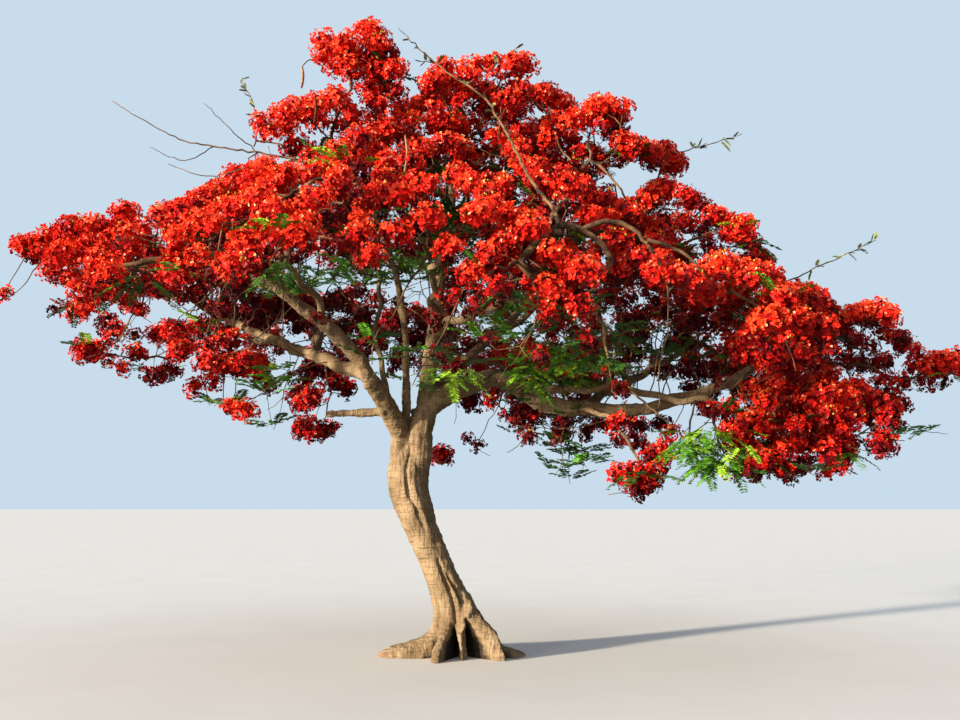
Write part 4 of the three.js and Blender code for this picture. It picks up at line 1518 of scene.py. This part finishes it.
# Stage, light and camera
def make_sky():
    """Cool light from above and dim warm light from below. The camera sees a plain pale backdrop."""
    world = bpy.data.worlds.new("soft_sky")
    world.use_nodes = True
    sky = Nodes(world.node_tree)
    direction = sky.node("ShaderNodeTexCoord", {}, {}).outputs["Generated"]
    height = sky.node("ShaderNodeSeparateXYZ", {}, {0: direction}).outputs[2]
    above = sky.node("ShaderNodeMapRange", {}, {0: height, 1: -0.1, 2: 0.1}).outputs[0]
    both_lights = sky.mix(above, GROUND_LIGHT, SKY_LIGHT)
    light = sky.node("ShaderNodeBackground", {}, {0: both_lights, 1: SKY_STRENGTH})
    seen = sky.node("ShaderNodeBackground", {}, {0: shade(BACKDROP), 1: 1.0})
    first_seen = sky.node("ShaderNodeLightPath", {}, {}).outputs["Is Camera Ray"]
    both = sky.node("ShaderNodeMixShader", {}, {0: first_seen, 1: light.outputs[0], 2: seen.outputs[0]})
    sky.plug(sky.tree.nodes["World Output"].inputs[0], both.outputs[0])
    bpy.context.scene.world = world


def make_lamp(name, direction, strength, spread):
    lamp = bpy.data.lights.new(name, "SUN")
    lamp.energy = strength
    lamp.angle = spread
    lamp.color = SUN_COLOUR
    put_in_scene(name, lamp).rotation_euler = Vector(direction).to_track_quat("Z", "Y").to_euler()


def make_stage():
    mesh = bpy.data.meshes.new("floor")
    half = FLOOR_SIZE / 2
    corners = [(-half, -half, 0), (half, -half, 0), (half, half, 0), (-half, half, 0)]
    mesh.from_pydata(corners, [], [range(4)])
    mesh.materials.append(floor_finish())
    floor = put_in_scene("floor", mesh)
    floor.visible_diffuse = False  # the light from below comes from the sky's lower half
    make_sky()
    make_lamp("low_sun", SUN_FROM, SUN_STRENGTH, SUN_SPREAD)
    make_lamp("low_glow", GLOW_FROM, GLOW_STRENGTH, GLOW_SPREAD)
    bpy.context.scene.view_settings.view_transform = "Standard"


def make_camera():
    lens = bpy.data.cameras.new("camera")
    lens.sensor_width = SENSOR
    lens.lens = SENSOR * FOCAL / PHOTO_WIDTH
    camera = put_in_scene("camera", lens)
    camera.location = EYE
    camera.rotation_euler = (math.pi / 2 + PITCH, 0, 0)
    bpy.context.scene.camera = camera


# The tree
SECTORS = ("top", "back", "left", "front", "right", "far_right")
TOP_ABOVE, BACK_BEHIND = 5.85, 1.7  # the top's Z and the back's Y
LEFT_TO, FRONT_TO, RIGHT_TO = -2.3, 0.8, 3.0  # X where the other parts of the crown end


def sector_of(places):
    """The part of the crown that places belong to."""
    x, y, z = np.asarray(places).T
    tests = [z > TOP_ABOVE, y > BACK_BEHIND, x < LEFT_TO, x < FRONT_TO, x < RIGHT_TO]
    return np.select(tests, range(5), 5)


def plan_ends(limbs, shoots):
    """All ends: on the masses, below them and in groups, thinned out where the photograph is open."""
    surface, under = ends_on_masses()
    loose = surface.with_more(ends_below(surface, under))
    sites = within_outline(loose.with_more(ends_in_groups()))
    fixed = np.arange(len(sites.kinds)) >= len(loose.kinds)
    sunny = sunlit(sites, limbs)
    return cleared(opened(sites.chosen(sunny), fixed[sunny]), shoots)


def grow_tree(limbs, shoots, sites):
    """The skeleton that joins the limbs to all ends. A shoot that bears trusses comes before them."""
    growth = Growth(limbs)
    for line, radii, shoot in shoots:
        if shoot.bears:
            growth.lay(line, radii)
    goals = sites.centres - 0.5 * sites.sizes[:, None] * sites.axes
    first_end = growth.add(goals, growth.grow(goals), sites.axes)
    end_rows = np.arange(first_end, len(growth.places))
    for line, radii, shoot in shoots:
        if not shoot.bears:
            growth.lay(line, radii)
    growth.weigh(end_rows)
    growth.ease()
    return growth


def make_twigs(growth):
    batch = Batch()
    draw_twigs(growth, batch)
    batch.piece("twigs", [twig_finish()], rounded=True)


def make_blossom(sites):
    """The flowers of each part of the crown, which stand for its masses."""
    names = [name for name in sorted(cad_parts) if name.startswith(MASS_PREFIX) and name != LEAFY_MASS]
    petals = [mottled_finish(*finish) for finish in PETAL_FINISHES]
    mass_sectors = sector_of([np.mean(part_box(name), 0) for name in names])
    site_sectors = sector_of(sites.centres)
    for number, sector in enumerate(SECTORS):
        mine = sites.chosen((site_sectors == number) & (sites.kinds == BLOOM))
        batch = Batch()
        draw_flowers(batch, *flowers_on(mine))
        draw_hearts(batch, mine)
        draw_buds(batch, mine.chosen(chance.random(len(mine.kinds)) < BUDDED))
        made = batch.piece("blossom_" + sector, petals)
        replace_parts(made, *[name for name, s in zip(names, mass_sectors) if s == number])


def make_leaves(sites, shoots):
    batch = Batch()
    low = sites.centres[:, 2] < LEAVES_BELOW
    among = (sites.kinds == BLOOM) & (chance.random(len(sites.kinds)) < LEAVES_AMONG * low)
    leafy = sites.chosen(among | (sites.kinds == SPRAY))
    draw_sprays(batch, leafy, chance.integers(3, 7, len(leafy.kinds)))
    for line, _, shoot in shoots:
        if shoot.young:
            draw_young_leaves(batch, line, shoot.young)
    finishes = [mottled_finish(*finish) for finish in LEAF_FINISHES]
    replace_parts(batch.piece("leaf_sprays", finishes), LEAFY_MASS)


def make_pods(growth):
    """Pods on short stalks that hang from the nearest twigs."""
    batch = Batch()
    for pod in PODS:
        top = sight(*pod.at, pod.depth)
        joint = growth.places[np.linalg.norm(growth.places - top, axis=1).argmin()]
        closed_tube(batch, rings_along(np.linspace(joint, top, 5), np.full(5, POD_STALK), 5))
        draw_pod(batch, top, pod)
    batch.piece("pods", [mottled_finish(*finish) for finish in POD_FINISHES], rounded=True)


make_camera()
make_stage()
limbs = make_limbs()
bark = bark_finish()
make_skin(limbs, bark)
make_lesser_limbs(limbs, bark)
shoots = [(*shoot_line(shoot), shoot) for shoot in SHOOTS.values()]
sites = plan_ends(limbs, shoots)
growth = grow_tree(limbs, shoots, sites)
make_twigs(growth)
make_blossom(sites)
make_leaves(sites, shoots)
make_pods(growth)
